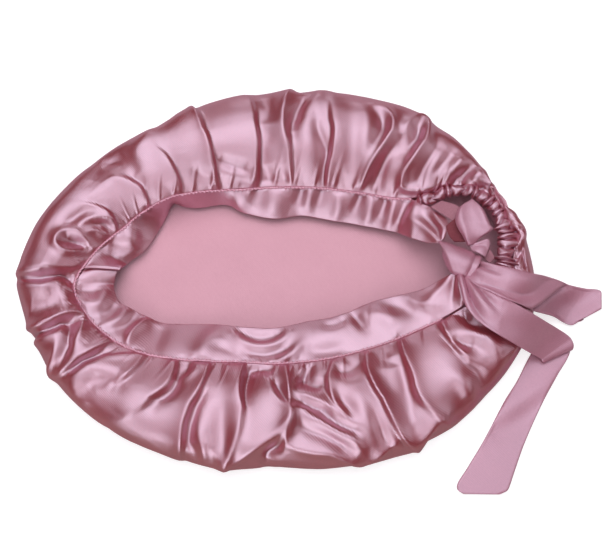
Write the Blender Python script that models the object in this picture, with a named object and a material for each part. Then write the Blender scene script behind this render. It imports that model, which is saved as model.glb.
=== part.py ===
"""A gathered satin sleep bonnet, lying on its crown with its opening upwards.

The crown is one hollow cloth shell. It lies flat in the middle, turns up round its rim
and comes back over to the seam, puffed up between its gathers. The headband is sewn
inside the seam, an elastic casing closes the nape, and the two ends of the band are
tied together there, with their tails lying out over the crown.

Lengths are in millimetres up to the last step, which makes metres of them. Z is up,
the bonnet rests on z = 0, and clock angles run anticlockwise from +X, seen from above.
"""
import bpy
import bmesh
import numpy as np

MILLIMETRE = 0.001

CLOTH_THICKNESS = 1.5
BAND_THICKNESS = 1.6
TIE_THICKNESS = 1.2
SEWN_GAP = 0.5
MIDDLE = np.array([4.0, -4.0])

# ----------------------------------------------------------------- the crown's sizes

# One row for each section round the crown:
# rim clock angle, seam x, seam y, seam height, crest height, rim reach, rim height
CROWN_SECTIONS = (
    (0, 144.5, 0.0, 23, 27, 155, 10),
    (8, 146.5, 12.0, 23, 27, 155, 10),
    (15, 147.0, 23.0, 24, 28, 151, 10),
    (21, 143.5, 34.0, 24, 28, 148, 11),
    (26, 138.0, 44.5, 23, 28, 148, 11),
    (31, 130.0, 52.5, 22, 28, 148, 11),
    (36, 118.0, 57.0, 21, 29, 148, 11),
    (41, 106.0, 56.0, 20, 30, 148, 11),
    (46, 95.5, 51.5, 18, 31, 148, 11),
    (53, 79.0, 50.5, 16, 31, 146, 12),
    (65, 55.0, 54.5, 16, 31, 138, 12),
    (78, 29.0, 58.0, 16, 31, 132, 12),
    (91, 4.0, 58.5, 16, 31, 129, 12),
    (102, -21.0, 57.0, 16, 31, 130, 12),
    (115, -45.0, 54.5, 18, 31, 131, 12),
    (126, -64.5, 49.5, 20, 30, 133, 12),
    (140, -80.5, 40.5, 18, 29, 139, 11),
    (155, -92.0, 31.0, 16, 28, 149, 11),
    (168, -108.0, 15.5, 16, 27, 157, 10),
    (180, -120.0, -6.0, 16, 26, 159, 10),
    (192, -112.5, -24.5, 16, 26, 154, 10),
    (205, -100.0, -38.0, 16, 27, 145, 10),
    (218, -85.0, -47.5, 16, 28, 137, 10),
    (230, -65.5, -53.0, 16, 29, 130, 10),
    (243, -39.0, -55.5, 16, 30, 122, 10),
    (257, -19.0, -56.0, 16, 30, 116, 10),
    (271, 2.0, -57.0, 16, 30, 112, 10),
    (285, 23.0, -55.5, 16, 30, 117, 10),
    (296, 40.5, -52.5, 16, 30, 122, 10),
    (313, 71.5, -43.0, 16, 30, 132, 10),
    (327, 100.0, -31.5, 17, 29, 139, 10),
    (338, 121.0, -24.0, 20, 28, 146, 10),
    (349, 136.0, -14.0, 22, 27, 153, 10),
)

# One row for each fold, a ridge where its height is above nought and a hollow below:
# clock angle and share of the way to the rim at its seam end, the same at its rim end,
# half its width, its height
CROWN_FOLDS = (
    (47, 0.10, 40, 0.95, 7.0, 4.0),
    (43, 0.10, 37, 0.75, 5.5, -4.0),
    (54, 0.14, 50, 0.95, 6.0, 5.0),
    (52, 0.30, 47, 0.80, 5.5, -3.5),
    (59, 0.12, 56, 0.70, 6.0, -4.5),
    (65, 0.10, 59, 0.90, 6.5, 5.0),
    (69, 0.12, 69, 0.95, 7.5, -4.5),
    (76, 0.06, 75, 0.80, 6.0, 4.5),
    (79, 0.20, 79, 0.85, 5.5, -4.0),
    (84, 0.30, 81, 1.05, 6.5, 5.0),
    (87, 0.08, 86, 0.75, 5.5, -4.5),
    (90, 0.30, 87, 1.05, 6.5, 4.5),
    (93, 0.08, 94, 1.05, 8.0, -4.5),
    (97, 0.06, 97, 0.80, 5.5, 3.5),
    (103, 0.10, 103, 1.05, 14.0, 3.0),
    (108, 0.06, 115, 1.00, 6.0, 5.0),
    (111, 0.10, 119, 0.85, 5.5, -3.5),
    (121, 0.14, 127, 0.80, 6.0, -4.0),
    (130, 0.14, 133, 1.00, 9.0, 3.5),
    (136, 0.12, 144, 0.60, 6.0, -4.5),
    (146, 0.15, 149, 0.95, 9.0, 3.5),
    (156, 0.08, 153, 0.55, 6.0, -4.0),
    (156, 0.24, 165, 0.42, 6.0, 4.0),
    (157, 0.50, 167, 0.44, 6.0, -4.0),
    (169, 0.10, 172, 0.50, 6.0, 4.5),
    (179, 0.25, 178, 0.95, 7.0, -4.5),
    (182, 0.22, 182, 0.80, 6.0, 4.5),
    (186, 0.20, 188, 0.60, 6.0, -4.0),
    (194, 0.08, 192, 0.62, 6.0, 4.0),
    (195, 0.28, 204, 0.66, 6.5, -5.0),
    (198, 0.50, 203, 1.00, 7.0, 4.5),
    (212, 0.12, 206, 0.80, 6.5, 4.5),
    (225, 0.04, 210, 0.62, 6.0, -4.0),
    (220, 0.30, 215, 0.95, 8.0, 4.0),
    (236, 0.10, 226, 0.90, 6.0, -4.5),
    (232, 0.20, 222, 0.70, 6.0, 3.5),
    (246, 0.16, 243, 0.95, 6.5, 5.0),
    (254, 0.15, 252, 0.85, 6.0, -4.5),
    (256, 0.24, 259, 0.95, 6.5, 5.0),
    (268, 0.12, 261, 0.60, 6.5, -4.5),
    (275, 0.15, 272, 0.85, 7.0, 4.5),
    (278, 0.36, 293, 0.66, 6.0, -4.0),
    (279, 0.48, 294, 0.80, 6.0, 4.0),
    (279, 0.66, 291, 0.84, 6.0, -3.5),
    (291, 0.12, 289, 0.55, 6.0, -4.5),
    (302, 0.14, 307, 1.05, 6.5, 5.5),
    (313, 0.12, 314, 0.85, 6.5, -5.0),
    (326, 0.10, 328, 0.62, 6.5, 5.0),
    (331, 0.20, 335, 0.80, 7.0, -4.5),
    (337, 0.50, 328, 0.90, 6.0, 4.0),
    (351, 0.20, 353, 0.90, 7.0, 3.0),
    (2, 0.25, 1, 0.90, 6.0, -3.5),
    (14, 0.25, 8, 0.80, 6.5, 3.5),
    (22, 0.25, 22, 0.90, 5.5, -3.5),
    (32, 0.15, 31, 0.80, 5.5, -3.0),
)

CROWN_COLUMNS = 144
CROWN_SHARES = (0.0, 0.06, 0.13, 0.21, 0.30, 0.39, 0.48, 0.58, 0.69, 0.82, 0.94, 1.07, 1.30)
CREST_SHARE = 0.40
FLOOR_SHARE = 1.30
UNDER_RIM = 14.0
FLOOR_RING = 0.5
SEWN_FLAT_SHARE = 0.06
SHARE_LENGTH = 66.0
CLOCK_LENGTH = 1.95

# -------------------------------------------------------------- the headband's sizes

# One row for each section: rim clock angle of the seam it is sewn to, then the free
# edge's x, y and height
BAND_SECTIONS = (
    (47, 88.0, 24.0, 13),
    (53, 77.0, 29.5, 12),
    (65, 53.0, 33.5, 12),
    (78, 29.0, 38.0, 12),
    (91, 3.0, 38.0, 12),
    (102, -19.0, 43.0, 11),
    (115, -41.0, 46.0, 9),
    (126, -59.0, 45.0, 8),
    (140, -68.0, 36.5, 9),
    (155, -75.0, 19.0, 12),
    (168, -88.5, 6.5, 14),
    (180, -97.0, -6.0, 15),
    (192, -92.0, -17.5, 15),
    (205, -81.0, -23.5, 14),
    (218, -69.5, -28.0, 14),
    (230, -56.5, -30.0, 14),
    (243, -38.0, -30.5, 15),
    (257, -19.0, -33.0, 15),
    (271, 2.0, -34.0, 15),
    (285, 22.0, -30.0, 15),
    (296, 38.0, -27.0, 15),
    (313, 64.0, -17.0, 16),
    (325, 85.0, -9.0, 17),
)

# Where each end of the band narrows into the knot: free edge x, y, height, then the
# sewn edge's x, y, height
BAND_END_BEHIND = (
    (104.0, 20.0, 20, 110.5, 20.5, 21),
    (100.5, 21.5, 18, 108.5, 27.0, 20),
    (94.0, 22.8, 15, 103.0, 38.0, 19),
)
BAND_END_FRONT = (
    (96.5, -6.0, 17, 107.5, -21.5, 18),
    (102.5, -4.6, 18, 110.5, -14.5, 19),
    (107.5, -5.4, 20, 112.0, -11.0, 20),
)
BAND_SECTION_COUNT = 72
BAND_END_COUNT = 8
BAND_BULGE = 1.2

# ----------------------------------------------------- the elastic casing's own sizes

CASING_FIRST_CLOCK = -20.0
CASING_LAST_CLOCK = 41.0
CASING_HALF_WIDTH = 4.2
CASING_HALF_HEIGHT = 3.2
CASING_RUFFLES = 15
CASING_RUFFLE_DEPTH = 0.22
CASING_STEPS = 60
CASING_SIDES = 8

# ------------------------------------------------------------------ the tie's sizes

KNOT_MIDDLE = (114.0, 4.5, 25.0)
KNOT_HALF_SIZE = (11.0, 12.5, 7.0)
KNOT_TURN = -12.0
KNOT_ROUNDING = 0.75
KNOT_COLUMNS = 18
KNOT_ROWS = 9

# Each tie: its far edge's x, y, height, then its near edge's x, y, height
TAIL_RIGHT = (
    (126.0, 7.0, 26, 123.0, -5.0, 26),
    (136.0, 0.0, 31, 131.0, -16.0, 31),
    (144.0, -3.0, 34, 141.0, -23.0, 34),
    (153.0, -4.0, 31, 152.0, -26.0, 30),
    (165.0, -3.0, 21, 161.0, -25.0, 20),
    (175.0, -2.0, 10, 170.0, -24.0, 9),
    (185.0, -3.0, 3.5, 177.0, -25.0, 3),
    (194.0, -5.0, 1.4, 185.0, -24.0, 1.4),
    (203.0, -8.0, 1.4, 196.0, -19.5, 1.4),
)
TAIL_FRONT = (
    (122.5, -7.5, 25, 114.5, -8.8, 25),
    (125.0, -15.0, 28, 115.0, -24.0, 27),
    (130.0, -20.0, 31, 120.0, -35.0, 30),
    (138.0, -24.0, 33, 129.0, -42.0, 32),
    (149.0, -29.0, 29, 140.0, -48.0, 28),
    (163.0, -33.0, 20, 153.0, -51.0, 19),
    (173.0, -36.0, 11.5, 161.0, -52.0, 11),
    (181.0, -41.0, 8.2, 164.0, -54.0, 8.2),
)
TAIL_FRONT_TURN = (
    (180.5, -42.0, 6.2, 163.5, -55.0, 6.2),
    (176.5, -37.5, 4.6, 160.0, -46.0, 4.6),
)
TAIL_FRONT_DOWN = (
    (177.0, -38.5, 2.4, 157.5, -44.0, 2.4),
    (180.0, -46.0, 1.4, 155.0, -49.0, 1.4),
    (171.0, -61.0, 1.4, 147.0, -63.0, 1.4),
    (162.0, -77.0, 1.4, 139.0, -76.0, 1.4),
    (150.0, -101.0, 1.4, 126.0, -99.0, 1.4),
    (142.0, -119.0, 1.4, 115.0, -116.0, 1.4),
    (139.0, -127.0, 1.4, 109.0, -125.0, 1.4),
    (134.0, -132.0, 1.4, 112.0, -131.0, 1.4),
)
TIE_LOOP = (
    (113.5, 17.4, 25, 124.0, 15.8, 25),
    (111.0, 27.0, 30, 130.0, 24.0, 29),
    (112.0, 37.0, 35, 127.0, 34.0, 34),
    (114.0, 41.5, 35, 120.0, 43.0, 35),
    (113.0, 41.0, 29, 109.0, 44.5, 29),
    (108.5, 33.0, 26, 98.5, 43.5, 26),
)
TIE_STUB = (
    (124.6, 12.8, 25, 125.6, 8.5, 25),
    (128.0, 18.0, 26, 130.0, 11.0, 25),
    (131.5, 20.0, 26, 133.0, 14.0, 25),
)
TIE_STEP = 6.0


def smooth_rows(rows, positions, period=0.0):
    """Read a table at the given positions, by a smooth curve through its rows.

    The first column is the position. With a period the table closes on itself.
    """
    table = np.array(rows, dtype=float)
    if period:
        before = table[-2:] - np.eye(1, table.shape[1])[0] * period
        after = table[:2] + np.eye(1, table.shape[1])[0] * period
    else:
        before = 2.0 * table[:1] - table[1:2]
        after = 2.0 * table[-1:] - table[-2:-1]
    table = np.concatenate([before, table, after])
    places = table[:, 0]
    where = np.searchsorted(places, positions, side="right") - 1
    where = np.clip(where, 1, len(places) - 3)
    start = table[where, 1:]
    end = table[where + 1, 1:]
    length = (places[where + 1] - places[where])[:, None]
    share = (positions[:, None] - places[where][:, None]) / length
    leave = (end - table[where - 1, 1:]) * length
    leave = leave / (places[where + 1] - places[where - 1])[:, None]
    arrive = (table[where + 2, 1:] - start) * length
    arrive = arrive / (places[where + 2] - places[where])[:, None]
    square = share * share
    cube = square * share
    return (
        (2.0 * cube - 3.0 * square + 1.0) * start
        + (cube - 2.0 * square + share) * leave
        + (3.0 * square - 2.0 * cube) * end
        + (cube - square) * arrive
    )


def crown_sections(clocks):
    """The seam point and height, crest height, rim point and rim height at each clock."""
    read = smooth_rows(CROWN_SECTIONS, np.mod(clocks, 360.0), period=360.0)
    seam = read[:, 0:2]
    angle = np.radians(clocks)
    toward = np.stack([np.cos(angle), np.sin(angle)], axis=1)
    rim = MIDDLE + read[:, 4:5] * toward
    return seam, read[:, 2:3], read[:, 3:4], rim, read[:, 5:6]


def crown_profile(clocks, shares):
    """The crown's outer face before its folds, as a grid of clocks by shares."""
    seam, seam_height, crest_height, rim, rim_height = crown_sections(clocks)
    across = rim - seam
    outwards = across / np.linalg.norm(across, axis=1, keepdims=True)
    quarter = np.pi / 2.0
    rise = np.clip(shares / CREST_SHARE, 0.0, 1.0) * quarter
    fall = np.clip((shares - CREST_SHARE) / (1.0 - CREST_SHARE), 0.0, 1.0) * quarter
    under = np.clip((shares - 1.0) / (FLOOR_SHARE - 1.0), 0.0, 1.0) * quarter
    reach = CREST_SHARE * (1.0 - np.cos(rise)) + (1.0 - CREST_SHARE) * np.sin(fall)
    place = seam[:, None] + across[:, None] * reach[None, :, None]
    tuck = UNDER_RIM * (1.0 - np.cos(under))
    place = place - outwards[:, None] * tuck[None, :, None]
    rising = seam_height + (crest_height - seam_height) * np.sin(rise)[None]
    falling = rim_height + (crest_height - rim_height) * np.cos(fall)[None]
    height = np.where(shares[None] < CREST_SHARE, rising, falling)
    height = np.where(shares[None] > 1.0, rim_height * (1.0 - np.sin(under))[None], height)
    return np.concatenate([place, height[..., None]], axis=2)


def fold_heights(clocks, shares):
    """How far the folds lift the crown's face, as a grid of clocks by shares."""
    total = np.zeros((len(clocks), len(shares)))
    for seam_clock, seam_share, rim_clock, rim_share, half_width, height in CROWN_FOLDS:
        from_seam = np.mod(clocks - seam_clock + 180.0, 360.0) - 180.0
        sideways = from_seam[:, None] * CLOCK_LENGTH
        outwards = (shares[None] - seam_share) * SHARE_LENGTH
        run = (rim_clock - seam_clock) * CLOCK_LENGTH
        climb = (rim_share - seam_share) * SHARE_LENGTH
        length = np.hypot(run, climb)
        along = (sideways * run + outwards * climb) / length
        aside = np.abs(sideways * climb - outwards * run) / length
        taper = np.sin(np.pi * np.clip(along / length, 0.0, 1.0)) ** 0.6
        bump = 0.5 + 0.5 * np.cos(np.pi * np.clip(aside / half_width, 0.0, 1.0))
        total += height * taper * bump
    return total * np.clip(shares / SEWN_FLAT_SHARE, 0.0, 1.0)[None]


def face_normals(grid, ring):
    """The unit normals of a grid of points, up where it runs outwards and anticlockwise."""
    if ring:
        along = np.roll(grid, -1, axis=0) - np.roll(grid, 1, axis=0)
    else:
        along = np.gradient(grid, axis=0)
    normals = np.cross(np.gradient(grid, axis=1), along)
    return normals / np.linalg.norm(normals, axis=2, keepdims=True)


def cloth_solid(name, grid, thickness, colour, ring=False, poles=()):
    """Give a grid of points a cloth's thickness below it and make it a closed solid.

    A ring closes on itself along its length, and two poles close its far side.
    """
    under = grid - face_normals(grid, ring) * thickness
    if poles:
        under[:, -2:] = grid[:, -2:] + np.array([0.0, 0.0, thickness])
    length, width = grid.shape[:2]
    mesh = bmesh.new()
    layers = []
    for points in (grid, under):
        rows = []
        for row in points:
            rows.append([mesh.verts.new(point * MILLIMETRE) for point in row])
        layers.append(rows)
    top, bottom = layers
    steps = length if ring else length - 1
    for step in range(steps):
        here = step
        after = (step + 1) % length
        for column in range(width - 1):
            mesh.faces.new((top[here][column], top[here][column + 1],
                            top[after][column + 1], top[after][column]))
            mesh.faces.new((bottom[here][column], bottom[after][column],
                            bottom[after][column + 1], bottom[here][column + 1]))
        mesh.faces.new((top[here][0], top[after][0], bottom[after][0], bottom[here][0]))
        if not poles:
            mesh.faces.new((top[here][-1], bottom[here][-1],
                            bottom[after][-1], top[after][-1]))
    if poles:
        for rows, pole in zip(layers, poles):
            centre = mesh.verts.new(np.array(pole) * MILLIMETRE)
            for step in range(length):
                mesh.faces.new((rows[step][-1], centre, rows[(step + 1) % length][-1]))
    if not ring:
        for end in (0, -1):
            for column in range(width - 1):
                mesh.faces.new((top[end][column], top[end][column + 1],
                                bottom[end][column + 1], bottom[end][column]))
    return finish_object(name, mesh, colour)


def finish_object(name, mesh, colour):
    """Turn a built mesh into a smooth object with its own satin material."""
    bmesh.ops.recalc_face_normals(mesh, faces=mesh.faces)
    data = bpy.data.meshes.new(name)
    mesh.to_mesh(data)
    mesh.free()
    data.shade_smooth()
    material = bpy.data.materials.new(name + "_satin")
    material.use_nodes = True
    shader = material.node_tree.nodes["Principled BSDF"]
    shader.inputs["Base Color"].default_value = (*colour, 1.0)
    shader.inputs["Roughness"].default_value = 0.38
    shader.inputs["Metallic"].default_value = 0.0
    data.materials.append(material)
    made = bpy.data.objects.new(name, data)
    bpy.context.scene.collection.objects.link(made)
    return made


def make_crown():
    """The hollow crown: folded upper face, rim, and the part that lies on the table."""
    clocks = np.arange(CROWN_COLUMNS) * (360.0 / CROWN_COLUMNS)
    shares = np.array(CROWN_SHARES)
    face = crown_profile(clocks, shares)
    face = face + face_normals(face, ring=True) * fold_heights(clocks, shares)[..., None]
    face[:, -1, 2] = 0.0
    floor = face[:, -1:].copy()
    floor[..., :2] = MIDDLE + (floor[..., :2] - MIDDLE) * FLOOR_RING
    face = np.concatenate([face, floor], axis=1)
    poles = ((*MIDDLE, 0.0), (*MIDDLE, CLOTH_THICKNESS))
    cloth_solid("crown", face, CLOTH_THICKNESS, (0.62, 0.33, 0.38), ring=True, poles=poles)


def make_headband():
    """The flat band inside the seam, with both its ends narrowed into the knot."""
    first_clock = BAND_SECTIONS[0][0]
    last_clock = BAND_SECTIONS[-1][0]
    clocks = np.linspace(first_clock, last_clock, BAND_SECTION_COUNT)
    free_edge = smooth_rows(BAND_SECTIONS, clocks)
    seam, seam_height = crown_sections(clocks)[:2]
    inwards = free_edge[:, :2] - seam
    inwards = inwards / np.linalg.norm(inwards, axis=1, keepdims=True)
    sewn_edge = np.concatenate([seam + inwards * SEWN_GAP, seam_height], axis=1)
    middle_part = np.concatenate([free_edge, sewn_edge], axis=1)
    ends = (np.array(BAND_END_BEHIND, dtype=float), np.array(BAND_END_FRONT, dtype=float))
    rows = np.concatenate([ends[0], middle_part, ends[1]])
    places = places_along(rows)
    table = np.concatenate([places[:, None], rows], axis=1)
    wanted = np.linspace(0.0, places[-1], BAND_SECTION_COUNT + BAND_END_COUNT)
    read = smooth_rows(table, wanted)
    grid = strip_grid(read[:, 0:3], read[:, 3:6], (0.0, 0.3, 0.7, 1.0), BAND_BULGE)
    cloth_solid("headband", grid, BAND_THICKNESS, (0.68, 0.38, 0.44))


def places_along(rows):
    """How far along a strip each of its rows lies, measured down its middle."""
    middles = (rows[:, 0:3] + rows[:, 3:6]) / 2.0
    steps = np.linalg.norm(np.diff(middles, axis=0), axis=1)
    return np.concatenate([[0.0], np.cumsum(steps)])


def strip_grid(one_edge, other_edge, shares, bulge):
    """Points from one edge of a strip to its other edge, lifted between them."""
    shares = np.array(shares)
    across = other_edge - one_edge
    grid = one_edge[:, None] + across[:, None] * shares[None, :, None]
    grid[..., 2] += bulge * 4.0 * (shares * (1.0 - shares))[None]
    return grid


def make_elastic_casing():
    """The ruffled casing round the nape, inside the crown's edge."""
    clocks = np.linspace(CASING_FIRST_CLOCK, CASING_LAST_CLOCK, CASING_STEPS)
    seam, seam_height = crown_sections(clocks)[:2]
    along = np.gradient(seam, axis=0)
    along = along / np.linalg.norm(along, axis=1, keepdims=True)
    inwards = np.stack([-along[:, 1], along[:, 0]], axis=1)
    middle = seam + inwards * (CASING_HALF_WIDTH + SEWN_GAP)
    turns = np.linspace(0.0, 1.0, CASING_STEPS) * CASING_RUFFLES * 2.0 * np.pi
    swell = 1.0 - CASING_RUFFLE_DEPTH * (0.5 + 0.5 * np.cos(turns))
    mesh = bmesh.new()
    rings = []
    for step in range(CASING_STEPS):
        ring = []
        for side in range(CASING_SIDES):
            angle = 2.0 * np.pi * side / CASING_SIDES
            aside = np.cos(angle) * CASING_HALF_WIDTH * swell[step]
            lift = np.sin(angle) * CASING_HALF_HEIGHT * swell[step]
            place = middle[step] - inwards[step] * aside
            height = seam_height[step, 0] + lift
            ring.append(mesh.verts.new(np.array([*place, height]) * MILLIMETRE))
        rings.append(ring)
    for first, second in zip(rings, rings[1:]):
        for side in range(CASING_SIDES):
            after = (side + 1) % CASING_SIDES
            mesh.faces.new((first[side], second[side], second[after], first[after]))
    mesh.faces.new(rings[0])
    mesh.faces.new(rings[-1])
    finish_object("elastic_casing", mesh, (0.58, 0.29, 0.33))


def make_knot():
    """The wrap of band that holds both of its ends together."""
    mesh = bmesh.new()
    bmesh.ops.create_uvsphere(mesh, u_segments=KNOT_COLUMNS, v_segments=KNOT_ROWS, radius=1.0)
    turn = np.radians(KNOT_TURN)
    for vertex in mesh.verts:
        point = np.array(vertex.co)
        point = np.sign(point) * np.abs(point) ** KNOT_ROUNDING * np.array(KNOT_HALF_SIZE)
        turned_x = point[0] * np.cos(turn) - point[1] * np.sin(turn)
        turned_y = point[0] * np.sin(turn) + point[1] * np.cos(turn)
        place = np.array([turned_x, turned_y, point[2]]) + np.array(KNOT_MIDDLE)
        vertex.co = place * MILLIMETRE
    finish_object("tie_knot", mesh, (0.70, 0.44, 0.52))


def make_tie(name, rows, colour):
    """One flat tie, smooth along its length and two layers of band thick."""
    rows = np.array(rows, dtype=float)
    places = places_along(rows)
    table = np.concatenate([places[:, None], rows], axis=1)
    count = max(int(places[-1] / TIE_STEP), len(rows)) + 1
    wanted = np.union1d(np.linspace(0.0, places[-1], count), places)
    read = smooth_rows(table, wanted)
    grid = strip_grid(read[:, 0:3], read[:, 3:6], (0.0, 0.5, 1.0), 0.0)
    cloth_solid(name, grid, TIE_THICKNESS, colour)


for old_object in list(bpy.data.objects):
    bpy.data.objects.remove(old_object)

TIE_COLOUR = (0.66, 0.40, 0.47)
make_crown()
make_headband()
make_elastic_casing()
make_knot()
make_tie("tie_tail_right", TAIL_RIGHT, TIE_COLOUR)
make_tie("tie_tail_front", TAIL_FRONT + TAIL_FRONT_TURN + TAIL_FRONT_DOWN, TIE_COLOUR)
make_tie("tie_loop", TIE_LOOP, TIE_COLOUR)
make_tie("tie_stub", TIE_STUB, TIE_COLOUR)
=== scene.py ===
"""A gathered satin sleep bonnet, lying open on its crown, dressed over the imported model.

The sections follow the bonnet as it is sewn: the crown first, then the headband inside
its seam, the elastic casing at the nape, and the two band ends tied into a knot.

Lengths are in millimetres up to the last step, which makes metres of them. Z is up,
the bonnet rests on z = 0, and clock angles run anticlockwise from +X, seen from above.
"""
import bpy
import numpy as np
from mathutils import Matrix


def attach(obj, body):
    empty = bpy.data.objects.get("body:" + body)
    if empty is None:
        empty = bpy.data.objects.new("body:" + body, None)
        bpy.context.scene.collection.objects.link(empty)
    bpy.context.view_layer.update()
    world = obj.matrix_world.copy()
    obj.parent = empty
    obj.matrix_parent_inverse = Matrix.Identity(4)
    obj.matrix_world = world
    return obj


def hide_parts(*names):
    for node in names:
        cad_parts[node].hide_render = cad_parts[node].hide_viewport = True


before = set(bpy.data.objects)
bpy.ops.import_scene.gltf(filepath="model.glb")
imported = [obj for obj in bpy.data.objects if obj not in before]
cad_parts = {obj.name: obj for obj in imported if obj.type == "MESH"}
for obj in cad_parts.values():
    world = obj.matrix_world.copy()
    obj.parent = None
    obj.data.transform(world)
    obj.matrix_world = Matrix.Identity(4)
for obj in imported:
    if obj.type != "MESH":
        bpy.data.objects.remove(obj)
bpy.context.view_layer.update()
scene = bpy.context.scene
MILLIMETRE = 0.001

# ------------------------------------------------------------------------ the camera
# The picture looks down on the bonnet from in front of the table, 68 degrees up, with
# a longish lens, so that the middle of the bonnet is 0.61 mm to a pixel.

PHOTO_WIDTH = 612
PHOTO_HEIGHT = 533
SENSOR_WIDTH = 36.0
CAMERA_HEIGHT_ANGLE = np.radians(68.0)
CAMERA_DISTANCE = 0.80
METRES_PER_PIXEL = 0.00061
AIM = np.array([0.0205, 0.0055, 0.015])

camera_data = bpy.data.cameras.new("camera")
camera_data.sensor_width = SENSOR_WIDTH
camera_data.lens = SENSOR_WIDTH * CAMERA_DISTANCE / METRES_PER_PIXEL / PHOTO_WIDTH
camera = bpy.data.objects.new("camera", camera_data)
scene.collection.objects.link(camera)
camera_way = np.array([0.0, -np.cos(CAMERA_HEIGHT_ANGLE), np.sin(CAMERA_HEIGHT_ANGLE)])
camera.location = AIM + camera_way * CAMERA_DISTANCE
camera.rotation_euler = (np.pi / 2.0 - CAMERA_HEIGHT_ANGLE, 0.0, 0.0)
scene.camera = camera
camera_right = np.array([1.0, 0.0, 0.0])
camera_up = np.cross(camera_way, camera_right)


def photo_pixels(points):
    """The column and row of the photograph at which the camera sees each point, in mm."""
    offset = points * MILLIMETRE - np.array(camera.location)
    scale = CAMERA_DISTANCE / METRES_PER_PIXEL / -(offset @ camera_way)
    columns = PHOTO_WIDTH / 2.0 + (offset @ camera_right) * scale
    rows = PHOTO_HEIGHT / 2.0 - (offset @ camera_up) * scale
    return np.stack([columns, rows], axis=-1)


def photo_places(columns, rows, heights):
    """The places, in mm, that the camera sees at these pixels if they are this high up."""
    pixel = METRES_PER_PIXEL / CAMERA_DISTANCE
    sideways = ((columns - PHOTO_WIDTH / 2.0) * pixel)[..., None] * camera_right
    upwards = ((PHOTO_HEIGHT / 2.0 - rows) * pixel)[..., None] * camera_up
    rays = sideways + upwards - camera_way
    lengths = (heights * MILLIMETRE - camera.location[2]) / rays[..., 2]
    return (np.array(camera.location) + rays * lengths[..., None]) / MILLIMETRE


# --------------------------------------------------------------- the table and the light
# A white table in a studio. The satin mirrors a big softbox above it, a second one only
# fills the shadows, and small soft lights stand in front, behind and at the right.

TABLE_HALF_SIZE = 12000.0
TABLE_COLOUR = (0.45, 0.45, 0.45, 1.0)
TABLE_GLOW = 0.70
TABLE_DEPTH = 0.0003
MIRRORED_NEAR = (0.34, 0.27, 0.24, 1.0)
MIRRORED_FAR = (0.62, 0.56, 0.60, 1.0)
MIRRORED_DEPTH = 0.001
WORLD_COLOUR = (0.95, 0.96, 1.0, 1.0)
WORLD_STRENGTH = 0.03
SOFTBOX_MIDDLE = 1.9
SOFTBOX_FALL = 3.0
SOFTBOX_EDGE = 0.05


class Thread:
    """A number passing between a material's nodes, on which sums are written plainly."""

    def __init__(self, tree, socket):
        self.tree = tree
        self.socket = socket

    def _sum(self, operation, *values):
        node = self.tree.nodes.new("ShaderNodeMath")
        node.operation = operation
        for place, value in zip(node.inputs, values):
            if isinstance(value, Thread):
                self.tree.links.new(value.socket, place)
            else:
                place.default_value = value
        return Thread(self.tree, node.outputs[0])

    def __add__(self, other):
        return self._sum("ADD", self, other)

    def __mul__(self, other):
        return self._sum("MULTIPLY", self, other)

    def __sub__(self, other):
        return self._sum("SUBTRACT", self, other)

    def __rsub__(self, other):
        return self._sum("SUBTRACT", other, self)

    __radd__ = __add__
    __rmul__ = __mul__

    def between(self, low, high):
        return self._sum("MAXIMUM", self._sum("MINIMUM", self, high), low)


class Finish:
    """A material under construction: nodes are added with their settings and wires."""

    def __init__(self, name, holder=None):
        self.material = holder or bpy.data.materials.new(name)
        self.material.use_nodes = True
        self.tree = self.material.node_tree
        self.tree.nodes.clear()

    def node(self, kind, settings=(), output=0, **sockets):
        """Add a node. A socket goes by its name, with underscores for spaces, or by its number."""
        made = self.tree.nodes.new(kind)
        for name, value in dict(settings).items():
            setattr(made, name, value)
        for name, value in sockets.items():
            numbered = name[0] == "i" and name[1:].isdigit()
            place = made.inputs[int(name[1:]) if numbered else name.replace("_", " ")]
            if isinstance(value, Thread):
                self.tree.links.new(value.socket, place)
            else:
                place.default_value = value
        return Thread(self.tree, made.outputs[output]) if made.outputs else None

    def blend(self, share, first, second):
        """A colour between two others."""
        return self.node("ShaderNodeMix", {"data_type": "RGBA"}, 2, i0=share, i6=first, i7=second)


def put_light(name, size, place, turn, power, colour):
    """One square soft light, brightest in its middle, turned about X, Y and Z in degrees."""
    data = bpy.data.lights.new(name, "AREA")
    data.shape = "SQUARE"
    data.size = size
    data.energy = power
    data.color = colour
    softbox = Finish(name, data)
    spot = softbox.node("ShaderNodeNewGeometry", output=5)
    away = softbox.node("ShaderNodeVectorMath", {"operation": "DISTANCE"}, 1, i0=spot, i1=(0.5, 0.5, 0.0))
    glow = (SOFTBOX_MIDDLE - away * SOFTBOX_FALL).between(SOFTBOX_EDGE, SOFTBOX_MIDDLE)
    softbox.node("ShaderNodeOutputLight", Surface=softbox.node("ShaderNodeEmission", Strength=glow))
    light = bpy.data.objects.new(name, data)
    light.location = place
    light.rotation_euler = np.radians(turn)
    scene.collection.objects.link(light)
    return light


world = bpy.data.worlds.new("studio")
scene.world = world
studio = Finish("studio", world)
sky = studio.node("ShaderNodeBackground", Color=WORLD_COLOUR, Strength=WORLD_STRENGTH)
studio.node("ShaderNodeOutputWorld", Surface=sky)
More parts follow.
